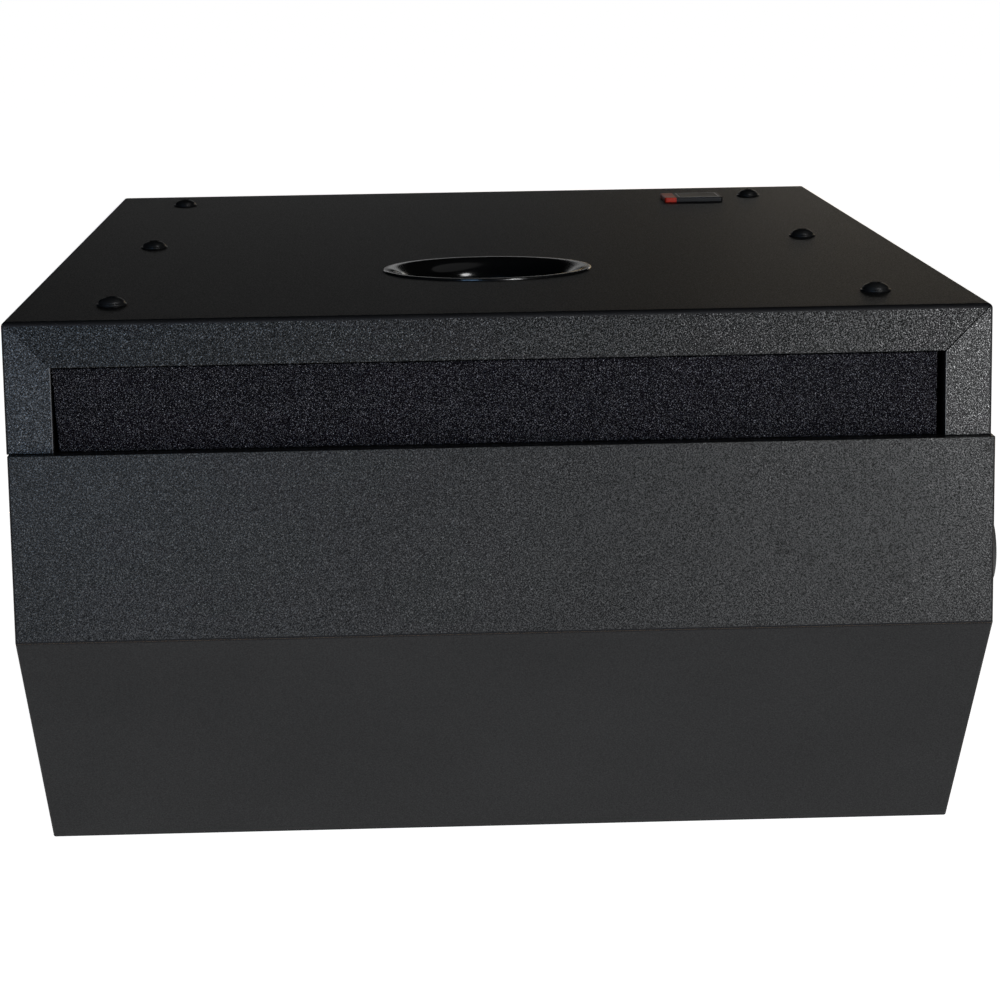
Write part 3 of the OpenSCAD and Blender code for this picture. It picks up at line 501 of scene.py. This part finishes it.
def joined(parts):
    """One bmesh that holds several, which are used up."""
    whole = bmesh.new()
    for part in parts:
        mesh = bpy.data.meshes.new("part")
        part.to_mesh(mesh)
        part.free()
        whole.from_mesh(mesh)
        bpy.data.meshes.remove(mesh)
    return whole


def placed(bm, matrix):
    """Moves a bmesh and gives it back."""
    bmesh.ops.transform(bm, matrix=matrix, verts=bm.verts)
    return bm


def evaluated(bm, add_modifier):
    """Runs a bmesh through the modifiers that a function adds. The bmesh is used up."""
    obj = temporary(bm)
    add_modifier(obj)
    result = bmesh.new()
    result.from_object(obj, bpy.context.evaluated_depsgraph_get())
    discard(obj)
    return result


def temporary(bm):
    """An object that a modifier can work on, with an empty material slot for each kind of face."""
    bmesh.ops.recalc_face_normals(bm, faces=bm.faces)
    mesh = bpy.data.meshes.new("part")
    bm.to_mesh(mesh)
    bm.free()
    for _ in range(ARRIS + 1):
        mesh.materials.append(None)
    obj = bpy.data.objects.new("part", mesh)
    bpy.context.scene.collection.objects.link(obj)
    return obj


def discard(obj):
    """Removes a temporary object and its mesh."""
    mesh = obj.data
    bpy.data.objects.remove(obj)
    bpy.data.meshes.remove(mesh)


def carved(bm, cutter):
    """Takes a cutter's solids out of a solid. Both are used up."""
    tool = temporary(cutter)

    def cut(obj):
        boolean = obj.modifiers.new("cut", "BOOLEAN")
        boolean.object = tool
        boolean.operation = "DIFFERENCE"
        boolean.solver = "EXACT"

    result = evaluated(bm, cut)
    discard(tool)
    return result


def extruded(outline, low, high, axis="z"):
    """A solid from an outline of two-number points, with its ends at two depths along an axis.
    Along y the outline is X and Z, and along x it is Y and Z."""
    spot = {
        "x": lambda p, q, depth: (depth, p, q),
        "y": lambda p, q, depth: (p, depth, q),
        "z": lambda p, q, depth: (p, q, depth),
    }[axis]
    bm = bmesh.new()
    first, last = ([bm.verts.new(spot(p, q, depth)) for p, q in outline] for depth in (low, high))
    bm.faces.new(first)
    bm.faces.new(reversed(last))
    for k in range(len(outline)):
        j = (k + 1) % len(outline)
        bm.faces.new((first[k], first[j], last[j], last[k]))
    bmesh.ops.recalc_face_normals(bm, faces=bm.faces)
    return bm


def rectangle(left, low, right, high):
    """The outline of a rectangle from its four limits."""
    return [(left, low), (right, low), (right, high), (left, high)]


def bevelled(bm, width, segments, slot=-1):
    """Rounds every edge that turns by more than 30 degrees."""
    hard = [e for e in bm.edges if e.is_manifold and e.calc_face_angle(0) > math.radians(30)]
    bmesh.ops.bevel(bm, geom=hard, offset=width, segments=segments, profile=0.5, affect="EDGES",
                    clamp_overlap=True, material=slot)
    return bm


def arc(r, z, radius, start, end, steps):
    """Points of radius and height round a centre, from one angle to another in degrees."""
    angles = [math.radians(start + (end - start) * k / steps) for k in range(steps + 1)]
    return [(r + radius * math.cos(a), z + radius * math.sin(a)) for a in angles]


def rounded_rect(width, height, radius):
    """The outline of a rectangle round the origin, with rounded corners."""
    u, v = width / 2 - radius, height / 2 - radius
    corners = ((u, v, 0), (-u, v, 90), (-u, -v, 180), (u, -v, 270))
    return [point for x, y, start in corners for point in arc(x, y, radius, start, start + 90, 6)]


def turned(outline, sides, start=0.0, sweep=360.0):
    """A solid turned round Z from a closed outline of radius and height, all the way or through a sector."""
    bm = bmesh.new()
    full = sweep == 360.0
    angles = [math.radians(start + sweep * k / sides) for k in range(sides + (0 if full else 1))]
    rings = []
    for r, z in outline:
        if r < 1e-9:  # on the axis, where one point does for all sides
            rings.append([bm.verts.new((0, 0, z))])
        else:
            rings.append([bm.verts.new((r * math.cos(a), r * math.sin(a), z)) for a in angles])
    for a, b in zip(rings, rings[1:] + rings[:1]):
        for k in range(sides):
            j = (k + 1) % len(angles)
            corners = list(dict.fromkeys([a[k % len(a)], a[j % len(a)], b[j % len(b)], b[k % len(b)]]))
            if len(corners) > 2:
                bm.faces.new(corners)
    if not full:
        bm.faces.new([ring[0] for ring in rings])
        bm.faces.new([ring[-1] for ring in reversed(rings)])
    return bm


def upright(spot, z=0.0):
    """The move that takes the Z axis to a spot, and z = 0 to a height."""
    return Matrix.Translation((spot.x, spot.y, z))


def islands(node):
    """The lowest and highest corners of each separate solid of a CAD node."""
    mesh = frame["nodes"][node].data
    bm = bmesh.new()
    bm.from_mesh(mesh)
    bmesh.ops.remove_doubles(bm, verts=bm.verts, dist=1e-6)
    left, found = set(bm.verts), []
    while left:
        group, edge = set(), [left.pop()]
        while edge:
            vert = edge.pop()
            group.add(vert)
            near = {e.other_vert(vert) for e in vert.link_edges} & left
            left -= near
            edge += near
        lo = Vector([min(v.co[i] for v in group) for i in range(3)])
        hi = Vector([max(v.co[i] for v in group) for i in range(3)])
        found.append((lo, hi))
    bm.free()
    return sorted(found, key=lambda box: tuple(round(c, 5) for c in box[0]))


# ---------------------------------------------------------------- boards of the case

# The material slots of a board's faces, after its outer face's 0
FOLD, INSIDE, SMOOTH, ARRIS = 1, 2, 3, 4


def trim(bm, point, normal, slot):
    """Cuts off what lies past a plane, and closes the cut with a face in that material slot."""
    everything = list(bm.verts) + list(bm.edges) + list(bm.faces)
    bmesh.ops.bisect_plane(bm, geom=everything, dist=1e-7, plane_co=point, plane_no=normal, clear_outer=True)
    bmesh.ops.edgeloop_fill(bm, edges=[e for e in bm.edges if e.is_boundary], mat_nr=slot)


def rounded_case(side_view, x_range, radius_of):
    """A solid with this side view in Y and Z. radius_of gives each edge's radius from the edge's two ends,
    and the rounded edges are folds of vinyl."""
    bm = extruded(side_view, *x_range, axis="x")
    weights = bm.edges.layers.float.new("bevel_weight_edge")
    largest = max(radius_of(*(v.co for v in edge.verts)) for edge in bm.edges)
    for edge in bm.edges:
        edge[weights] = radius_of(*(v.co for v in edge.verts)) / largest

    def fold(obj):
        edges = obj.modifiers.new("folds", "BEVEL")
        edges.limit_method = "WEIGHT"
        edges.width = largest
        edges.segments = 4
        # the rounded edges take the fold slot, whose darkened finish is painted shade
        edges.material = FOLD

    return evaluated(bm, fold)


def cut_board(case, normal, point, neighbours):
    """One mitred board of a case: what lies behind one outer face, up to the mitres with its neighbours.
    Each neighbour is its outward normal, a point on the shared edge, and the mitre's gap at the inner
    corner. The gap closes a little towards the outside."""
    outer_share = 0.7
    bm = case.copy()
    for other, corner, gap in neighbours:
        inner = corner - (normal + other) * BOARD / (1 + normal.dot(other))
        apart = (normal - other).normalized() * gap / 2
        inner += apart
        corner = corner + apart * outer_share
        across = normal.cross(other).cross(inner - corner)
        if across.dot(other - normal) < 0:
            across.negate()
        trim(bm, corner, across, INSIDE)
    trim(bm, point - normal * BOARD, -normal, INSIDE)
    return bm


def soften_opening(bm, accepts):
    """Rounds the hard edges whose two ends a test accepts."""
    hard, width = 0.6, 0.35 * MM
    chosen = [e for e in bm.edges if accepts(*(v.co for v in e.verts)) and e.calc_face_angle(0) > hard]
    bmesh.ops.bevel(bm, geom=chosen, offset=width, segments=2, profile=0.5, affect="EDGES", material=ARRIS)


def add_cover():
    """The cover's top and its two side rails, folded at mitres, and the rail at the far end."""
    rim_round, top_round, upright_round = 0.3 * MM, 1.9 * MM, 0.9 * MM
    port_hole, bolt_hole = 43.6 * MM, 3.5 * MM
    faint_gap, plain_gap = 0.1 * MM, 0.5 * MM
    close = 0.01 * MM

    def radius_of(a, b):
        if max(a.z, b.z) < RIM + MM:
            return rim_round
        return top_round if min(a.z, b.z) > TOP - MM else upright_round

    case = rounded_case([(NEAR, RIM), (NEAR, TOP), (FAR, TOP), (FAR, RIM)], COVER_X, radius_of)
    up, left, right = Vector((0, 0, 1)), Vector((-1, 0, 0)), Vector((1, 0, 0))
    corner_left, corner_right = Vector((COVER_X[0], NEAR, TOP)), Vector((COVER_X[1], NEAR, TOP))
    # the rail copy of the vinyl is painted lighter and the bar copy darker: painted light and shade on the
    # cover's faces
    lit_rail_face, shaded_bar_face, lit_arris = FINISH["vinyl_rail_lit"], FINISH["vinyl_bar_shaded"], FINISH["vinyl_arris_lit"]
    # fold is the darkened vinyl: painted shade on the folds and inner faces
    smooth, fold = FINISH["vinyl_smooth_shaded"], FINISH["vinyl_fold_shaded"]

    def at_mouth(a, b):
        return max(abs(a.y - NEAR), abs(b.y - NEAR)) < close and min(a.z, b.z) < TOP - 2 * MM

    top = cut_board(case, up, corner_left, [(left, corner_left, faint_gap), (right, corner_right, plain_gap)])
    soften_opening(top, lambda a, b: at_mouth(a, b) and abs(a.z - b.z) < close)
    holes = [(port_centre(), port_hole, 96)] + [(spot, bolt_hole, 32) for spot in bolt_places()]
    top = carved(top, joined([
        placed(turned(rectangle(0, -BOARD - MM, radius, MM), sides), upright(spot, TOP))
        for spot, radius, sides in holes
    ]))
    # the top takes the smoother vinyl, which is also a darker copy: painted shade on the top face
    for face in top.faces:  # the top reads smoother than the cover's near edge
        if face.material_index == 0 and face.normal.z > 0.9:
            face.material_index = SMOOTH
    stand_in("top_plate", top, shaded_bar_face, fold, fold, smooth, shaded_bar_face)

    for node, normal, corner, gap in (
        ("cover_left_rail", left, corner_left, faint_gap),
        ("cover_right_rail", right, corner_right, plain_gap),
    ):
        rail = cut_board(case, normal, corner, [(up, corner, gap)])
        inner_x = corner.x - normal.x * BOARD
        soften_opening(rail, lambda a, b: at_mouth(a, b) and abs(a.x - inner_x) + abs(b.x - inner_x) < close)
        # the rails' rounded opening edges take the lighter arris finish: a painted highlight
        stand_in(node, rail, lit_rail_face, fold, fold, smooth, lit_arris)

    lo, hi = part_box("cover_rear_rail")
    rear = extruded(rectangle(lo.x, lo.z, hi.x, hi.z), lo.y, hi.y, "y")
    stand_in("cover_rear_rail", bevelled(rear, 0.5 * MM, 2, FOLD), FINISH["vinyl_board"], fold)


def add_main_box():
    """Six mitred boards: near, slanted, bottom, rear and the two sides."""
    side_view = [(BAND, RIM), (BAND, BAND_FOOT), (SLANT, BASE), (FAR, BASE), (FAR, RIM)]
    rim_round, corner_round, seam, overlap = 0.3 * MM, 0.9 * MM, 0.05 * MM, 10 * MM

    def radius_of(a, b):
        return rim_round if min(a.z, b.z) > RIM - MM else corner_round

    case = rounded_case(side_view, BOX_X, radius_of)
    for face in case.faces:  # the rounded rim keeps its board's grain
        if face.calc_center_median().z > RIM - 0.5 * MM:
            face.material_index = 0
    left, right = Vector((-1, 0, 0)), Vector((1, 0, 0))
    # fold is the darkened vinyl: painted shade on the rounded edges
    grained, fold, raw = FINISH["vinyl_board"], FINISH["vinyl_fold_shaded"], FINISH["raw_board"]
    names = ("near_panel", "slanted_panel", "bottom_panel", "rear_panel")
    normals = []
    for (y0, z0), (y1, z1) in zip(side_view, side_view[1:]):
        normals.append(Vector((0, z1 - z0, y0 - y1)).normalized())

    for k, name in enumerate(names):
        start, end = (Vector((BOX_X[0], *side_view[j])) for j in (k, k + 1))
        neighbours = [(left, start, seam), (right, Vector((BOX_X[1], *side_view[k])), seam)]
        if k > 0:
            neighbours.append((normals[k - 1], start, seam))
        if k < len(names) - 1:
            neighbours.append((normals[k + 1], end, seam))
        board = cut_board(case, normals[k], start, neighbours)
        if name == "rear_panel":
            lo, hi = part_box("amp_gasket")
            opening = rectangle(lo.x + overlap, lo.z + overlap, hi.x - overlap, hi.z - overlap)
            board = carved(board, extruded(opening, FAR - BOARD - MM, FAR + MM, "y"))
        # the slanted panel takes a darker copy of the vinyl: painted shade on the face that leans down
        stand_in(name, board, FINISH["vinyl_slant_shaded"] if name == "slanted_panel" else grained, fold, raw)

    for name, normal, x in (("left_side_panel", left, BOX_X[0]), ("right_side_panel", right, BOX_X[1])):
        corners = [Vector((x, *point)) for point in side_view]
        neighbours = [(n, corner, seam) for n, corner in zip(normals, corners)]
        stand_in(name, cut_board(case, normal, corners[0], neighbours), grained, fold, raw)


# ---------------------------------------------------------------- foam and wadding

def swept_pad(section, columns, left, right, push):
    """A pad from a section in Y and Z swept along X. left and right give the ends' X at a height,
    and push gives a point's final place from where it is and its outward direction in the section."""
    count = len(section)
    outward = []
    for k in range(count):
        before, after = section[k - 1], section[(k + 1) % count]
        outward.append(Vector((0, before[1] - after[1], after[0] - before[0])).normalized())
    bm = bmesh.new()
    rings = []
    for column in range(columns + 1):
        share = column / columns
        ring = []
        for (y, z), out in zip(section, outward):
            spot = Vector((left(z) + (right(z) - left(z)) * share, y, z))
            ring.append(bm.verts.new(push(spot, out)))
        rings.append(ring)
    for a, b in zip(rings, rings[1:]):
        for k in range(count):
            j = (k + 1) % count
            bm.faces.new((a[k], a[j], b[j], b[k]))
    bm.faces.new(rings[0])
    bm.faces.new(reversed(rings[-1]))
    return bm


def add_slot_foam():
    """The strip of open-cell foam in the slot, cut a little askew at its left end."""
    lo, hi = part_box("slot_foam")
    cell, step, corner, askew = 1.05 * MM, 0.5 * MM, 0.5 * MM, 1.9 * MM
    pit_depth, pit_edge, swell_height, swell_scale, proud = 0.42 * MM, 0.45, 0.25 * MM, 45, 0.1 * MM
    front_depth, back_share = 3 * MM, 0.3
    straight = hi.z - lo.z - 2 * corner
    rows = round(straight / step)
    front = [(lo.y, hi.z - corner - straight * k / rows) for k in range(1, rows)]
    section = arc(lo.y + corner, hi.z - corner, corner, 90, 180, 3) + front
    section += arc(lo.y + corner, lo.z + corner, corner, 180, 270, 3)
    section += [(lo.y + (hi.y - lo.y) * share, lo.z) for share in (0.3, 0.7)]
    section += [(hi.y, lo.z), (hi.y, hi.z)]
    section += [(lo.y + (hi.y - lo.y) * share, hi.z) for share in (0.7, 0.3)]

    def left(z):
        return lo.x - askew + askew * (hi.z - z) / (hi.z - lo.z)

    def push(spot, out):
        near, second = noise.voronoi(spot / cell)[0][:2]
        pit = min(1.0, (second - near) / pit_edge) * pit_depth
        swell = noise.noise(spot * swell_scale) * swell_height
        return spot - out * (pit - swell - proud) * (1 if spot.y < lo.y + front_depth else back_share)

    pad = swept_pad(section, round((hi.x - lo.x) / step), left, lambda z: hi.x, push)
    stand_in("slot_foam", pad, sharp=180)


def add_wadding():
    """A sheet of loose polyester wadding, lumpy and thin at its edges."""
    lo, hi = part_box("damping_wadding")
    step, lump_height, lump_scale = 3.5 * MM, 3.2 * MM, 38
    edge_loft, more_loft, edge_share = 0.12, 0.75, 1 / 9
    middle = Vector(((lo.x + hi.x) / 2, (lo.y + hi.y) / 2, 0))
    half = Vector(((hi.x - lo.x) / 2, (hi.y - lo.y) / 2, 0))
    rows = round((hi.y - lo.y) / step)
    under = [(hi.y - (hi.y - lo.y) * k / rows, lo.z) for k in range(rows)]
    over = [(lo.y + (hi.y - lo.y) * k / rows, hi.z) for k in range(rows)]

    def push(spot, _):
        edge = min(1 - abs(spot.x - middle.x) / half.x, 1 - abs(spot.y - middle.y) / half.y)
        loft = math.sqrt(min(1.0, max(0.0, edge) / edge_share)) * more_loft + edge_loft
        lumps = noise.fractal(spot * lump_scale, 1, 2, 4) * lump_height
        if spot.z < lo.z + MM:
            return spot
        return Vector((spot.x, spot.y, min(hi.z, lo.z + (hi.z - lo.z) * loft + lumps)))

    pad = swept_pad(under + over, round((hi.x - lo.x) / step), lambda z: lo.x, lambda z: hi.x, push)
    stand_in("damping_wadding", pad, sharp=180)


# ---------------------------------------------------------------- bolts, port, badge and feet

def bolt_places():
    """The middles of the cover bolts, from the frame."""
    return [(lo + hi) / 2 for lo, hi in islands("cover_bolts")]


def port_centre():
    """The middle of the port tube."""
    lo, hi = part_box("port_tube")
    return (lo + hi) / 2


def add_cover_bolts():
    """Flanged button-head bolts with a hexagonal socket."""
    shank, reach, tip_in, tip_up = 3.0 * MM, 75 * MM, 0.6 * MM, 0.8 * MM
    radius, flange, edge, under_edge = 6.5 * MM, 0.9 * MM, 0.35 * MM, 0.2 * MM
    dome_r, rise, foot, head = 5.7 * MM, 2.9 * MM, 0.15 * MM, 3.6 * MM
    crown_r, crown_drop = 1.6 * MM, 0.06 * MM
    outline = [(0, -reach), (shank - tip_in, -reach), (shank, -reach + tip_up)]
    outline += [(shank, 0), (radius - under_edge, 0)]
    outline += arc(radius - edge, flange - edge, edge, 0, 90, 4)
    outline += [(dome_r + foot, flange)]
    outline += [(r, flange + (z - flange) * rise / dome_r) for r, z in arc(0, flange, dome_r, 3, 68, 12)]
    outline += [(crown_r, head - crown_drop), (0, head)]

    key_r, key_end, drill_end = 2.3 * MM, 2.2 * MM, 2.4 * MM
    mouth_r, mouth_end, above = 3.2 * MM, 0.5 * MM, 0.4 * MM
    socket = [(0, -drill_end), (key_r, -key_end), (key_r, -mouth_end), (mouth_r, above), (0, above)]
    bolt = carved(turned(outline, 64), placed(turned(socket, 6), Matrix.Translation((0, 0, head))))
    bolts = [placed(bolt.copy(), upright(spot, TOP)) for spot in bolt_places()]
    bolt.free()
    stand_in("cover_bolts", joined(bolts), sharp=40)


def add_port_flange():
    """The port's mouth: a thin lip, then one smooth curve down into the tube."""
    lo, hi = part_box("port_flange")
    rim = (hi.x - lo.x) / 2
    tube_lo, tube_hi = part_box("port_tube")
    outer = (tube_hi.x - tube_lo.x) / 2
    wall, collar, chamfer, play = 2.5 * MM, 2.0 * MM, 0.4 * MM, 0.1 * MM
    lip_land, lip_round, shoulder, shoulder_drop = 1.4 * MM, 0.7 * MM, 7 * MM, 14 * MM
    bore, seat, inside = outer - wall, rim - 4 * MM, outer + play
    lip, end, tube_top = hi.z - TOP, lo.z - TOP, tube_hi.z - TOP
    curve = rim - lip_land - bore
    outline = arc(bore + curve, lip - curve, curve, 180, 90, 32)
    outline += arc(rim - lip_round, lip - lip_round, lip_round, 90, 0, 6)
    outline += [(rim, 0), (seat, 0)]
    outline += arc(seat - shoulder, -shoulder_drop, shoulder, 70, 10, 6)
    outline += [(outer + collar + chamfer, end + chamfer), (outer + collar, end), (inside, end)]
    outline += [(inside, tube_top), (bore, tube_top)]
    stand_in("port_flange", placed(turned(outline, 192), upright(port_centre(), TOP)), sharp=40)


def add_badge():
    """A small black badge with a red left end and a plain pale rule, and nothing written on it."""
    lo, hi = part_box("badge_plate")
    middle, split = (lo + hi) / 2, Vector((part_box("badge_stripe")[1].x, 0, 0))
    corner, edge_round, seam = 1.6 * MM, 0.45 * MM, 0.05 * MM
    rule_outside, rule_inside, rule_corner, sunk, proud = 1.5 * MM, 2.4 * MM, 0.6 * MM, 0.1 * MM, 0.04 * MM
    plate = extruded(rounded_rect(hi.x - lo.x, hi.y - lo.y, corner), lo.z, hi.z)
    plate = bevelled(placed(plate, upright(middle)), edge_round, 3)
    for node, away in (("badge_plate", Vector((-1, 0, 0))), ("badge_stripe", Vector((1, 0, 0)))):
        part = plate.copy()
        trim(part, split - away * seam, away, 0)
        stand_in(node, part)
    plate.free()

    def sheet(edge, low, high):
        x0, x1 = split.x + edge, hi.x - edge
        flat = extruded(rounded_rect(x1 - x0, hi.y - lo.y - 2 * edge, rule_corner), low, high)
        return placed(flat, upright(Vector(((x0 + x1) / 2, middle.y, 0))))

    rule = carved(sheet(rule_outside, hi.z - sunk, hi.z + proud), sheet(rule_inside, lo.z, hi.z + MM))
    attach(add_mesh("badge_rule", rule, [FINISH["badge_silver"]]), "cabinet")


def foot_outline(radius, height):
    """Half a rubber foot standing on z = 0, with a rounded tread, a groove and a well for its screw."""
    hole, well, well_taper, floor, lip = 2.3 * MM, 6 * MM, 0.5 * MM, 4.5 * MM, 0.6 * MM
    groove, groove_half, groove_floor, groove_depth = radius - 7.2 * MM, 0.8 * MM, 0.4 * MM, 0.5 * MM
    tread_r, tread_round, top_r, top_round = radius - 3.4 * MM, 2.2 * MM, radius - 0.4 * MM, 0.7 * MM
    outline = [(hole, height), (hole, floor), (well - well_taper, floor)]
    outline += arc(well + lip, lip, lip, 180, 270, 4)
    outline += [(groove - groove_half, 0), (groove - groove_floor, groove_depth)]
    outline += [(groove + groove_floor, groove_depth), (groove + groove_half, 0)]
    outline += arc(tread_r, tread_round, tread_round, 270, 350, 8)
    outline += arc(radius - top_round, height - 0.9 * MM, top_round, -10, 60, 4)
    outline += [(top_r, height)]
    return outline


def add_feet():
    """Four feet below that point down, and four on the right side that point right."""
    for node, along in (("bottom_feet", Vector((0, 0, 1))), ("side_feet", Vector((-1, 0, 0)))):
        feet = []
        for lo, hi in islands(node):
            size = hi - lo
            axis = max(range(3), key=lambda i: abs(along[i]))
            height = size[axis]
            radius = max(size) / 2
            base = (lo + hi) / 2 - along * height / 2
            turn = Vector((0, 0, 1)).rotation_difference(along).to_matrix().to_4x4()
            feet.append(placed(turned(foot_outline(radius, height), 72), Matrix.Translation(base) @ turn))
        stand_in(node, joined(feet), sharp=40)


# ---------------------------------------------------------------- the amplifier's outside

def add_heatsink():
    """An extruded sink: fins that taper, with serrated flanks and round tips."""
    lo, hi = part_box("heatsink")
    base, fins, foot_w, tip_w = 3 * MM, 14, 2.0 * MM, 1.4 * MM
    ridges, notch = 7, 0.15 * MM
    step = (hi.x - lo.x - foot_w) / (fins - 1)
    outline = [(lo.x, lo.y), (hi.x, lo.y)]
    for k in reversed(range(fins)):
        x = lo.x + foot_w / 2 + k * step
        top = hi.y - tip_w / 2
        flank = []
        for j in range(2 * ridges + 1):
            share = j / (2 * ridges)
            half = (foot_w + (tip_w - foot_w) * share) / 2 - (notch if j % 2 else 0)
            flank.append((half, lo.y + base + (top - lo.y - base) * share))
        outline += [(x + half, y) for half, y in flank]
        outline += arc(x, top, tip_w / 2, 30, 150, 4)
        outline += [(x - half, y) for half, y in reversed(flank)]
    stand_in("heatsink", extruded(outline, lo.z, hi.z), sharp=30)


def add_panel_print():
    """Pale marks on the amplifier's plate: a scale round each knob, and lines that group the sockets."""
    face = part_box("amp_plate")[1].y
    proud, thin = 0.1 * MM, 0.35 * MM
    scale_r, long_tick, short_tick = 9.2 * MM, 2.2 * MM, 1.4 * MM
    ticks, first_angle, angle_step = 11, -150, 30
    marks = []

    def bar(x, z, length, angle):
        mark = extruded(rectangle(-length / 2, -thin / 2, length / 2, thin / 2), face, face + proud, "y")
        marks.append(placed(mark, Matrix.Translation((x, 0, z)) @ Matrix.Rotation(-angle, 4, "Y")))

    for node in ("gain_knob", "crossover_knob", "boost_knob"):
        lo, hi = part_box(node)
        middle = (lo + hi) / 2
        for k in range(ticks):
            a = math.radians(first_angle + angle_step * k)
            length = long_tick if k % 5 == 0 else short_tick
            reach = scale_r + length / 2
            bar(middle.x + reach * math.sin(a), middle.z + reach * math.cos(a), length, math.pi / 2 - a)
    for node, gap in (("rca_sockets", 3.5 * MM), ("power_terminals", 3 * MM), ("fuse_holder", 2.5 * MM)):
        lo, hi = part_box(node)
        for z in (lo.z - gap, hi.z + gap):
            bar((lo.x + hi.x) / 2, z, hi.x - lo.x, 0)
    print_obj = add_mesh("panel_marks", joined(marks), [FINISH["panel_print"]])
    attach(print_obj, "cabinet")


# ---------------------------------------------------------------- the woofer's soft parts

def add_bending_ring(node, outline, sectors):
    """A soft ring round the woofer's axis, in sectors."""
    cone_lo, cone_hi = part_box("woofer_cone")
    axis = (cone_lo + cone_hi) / 2
    sides, width = 96, 360 / sectors
    for k in range(sectors):
        bm = placed(turned(outline, sides // sectors, k * width, width), upright(axis))
        obj = add_mesh(f"{node}_{k + 1:02d}", bm, [FINISH[SLOT[node]]], sharp=60)
        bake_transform(obj)
        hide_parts(node)


def add_surround():
    """A half-roll of rubber between the frame and the cone, with a flat land on both sides."""
    lo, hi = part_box("woofer_surround")
    cone_lo, cone_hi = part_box("woofer_cone")
    cone_r = (cone_hi.x - cone_lo.x) / 2
    skin, roll_end, fixed_r, moving_r = 1.2 * MM, 116.5 * MM, 112 * MM, 102.5 * MM
    inner, outer = cone_r - 4 * MM, (hi.x - lo.x) / 2
    roll = (roll_end - cone_r - MM) / 2
    middle, base = cone_r + MM + roll, lo.z
    outline = [(inner, base), (inner, base + skin)]
    outline += arc(middle, base + skin, roll + skin / 2, 178, 2, 16)
    outline += [(outer, base + skin), (outer, base)]
    outline += arc(middle, base, roll - skin / 2, 2, 178, 16)
    add_bending_ring("woofer_surround", outline, 24)


def add_spider():
    """The corrugated cloth disc."""
    lo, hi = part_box("spider")
    outer, inner = (hi.x - lo.x) / 2, 26.7 * MM
    wave, cloth, fixed_r, moving_r = 0.8 * MM, 0.6 * MM, 64 * MM, 28 * MM
    middle, steps, waves = (lo.z + hi.z) / 2, 60, 5
    upper = [
        (inner + (outer - inner) * k / steps, middle + wave * math.sin(2 * math.pi * waves * k / steps))
        for k in range(steps + 1)
    ]
    outline = [(r, z + cloth / 2) for r, z in upper] + [(r, z - cloth / 2) for r, z in reversed(upper)]
    add_bending_ring("spider", outline, 12)


# ---------------------------------------------------------------- the CAD nodes that stay

def finish_cad_nodes():
    """Gives every CAD node that still shows its own finish, and rounds the hard edges of some, by a width
    in millimetres."""
    edge_width = {
        "spacer_blocks": 0.6, "transistors": 0.4, "capacitors": 0.8, "input_sockets": 0.3,
        "power_terminals": 0.4, "fuse_holder": 0.4, "fuse": 0.3, "phase_slider": 0.3,
        "phase_switch_housing": 0.3, "amp_board": 0.1, "magnet": 0.8, "motor_top_plate": 0.4,
    }
    for node, obj in frame["nodes"].items():
        if obj.hide_render:
            continue
        obj.data.materials.clear()
        obj.data.materials.append(FINISH[SLOT[node]])
        if node == "rca_inserts":
            obj.data.materials.append(FINISH["insert_red"])
            lo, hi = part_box(node)
            for face in obj.data.polygons:
                face.material_index = int((obj.matrix_world @ face.center).x < (lo.x + hi.x) / 2)
        if node in edge_width:
            weld = obj.modifiers.new("weld", "WELD")
            weld.merge_threshold = 0.002 * MM
            edges = obj.modifiers.new("edges", "BEVEL")
            edges.width = edge_width[node] * MM
            edges.segments = 2
            edges.limit_method = "ANGLE"
            edges.angle_limit = math.radians(40)
            edges.harden_normals = True


add_camera()
add_studio()
FINISH = add_finishes()
add_cover()
add_main_box()
add_slot_foam()
add_wadding()
add_cover_bolts()
add_port_flange()
add_badge()
add_feet()
add_heatsink()
add_panel_print()
add_surround()
add_spider()
finish_cad_nodes()
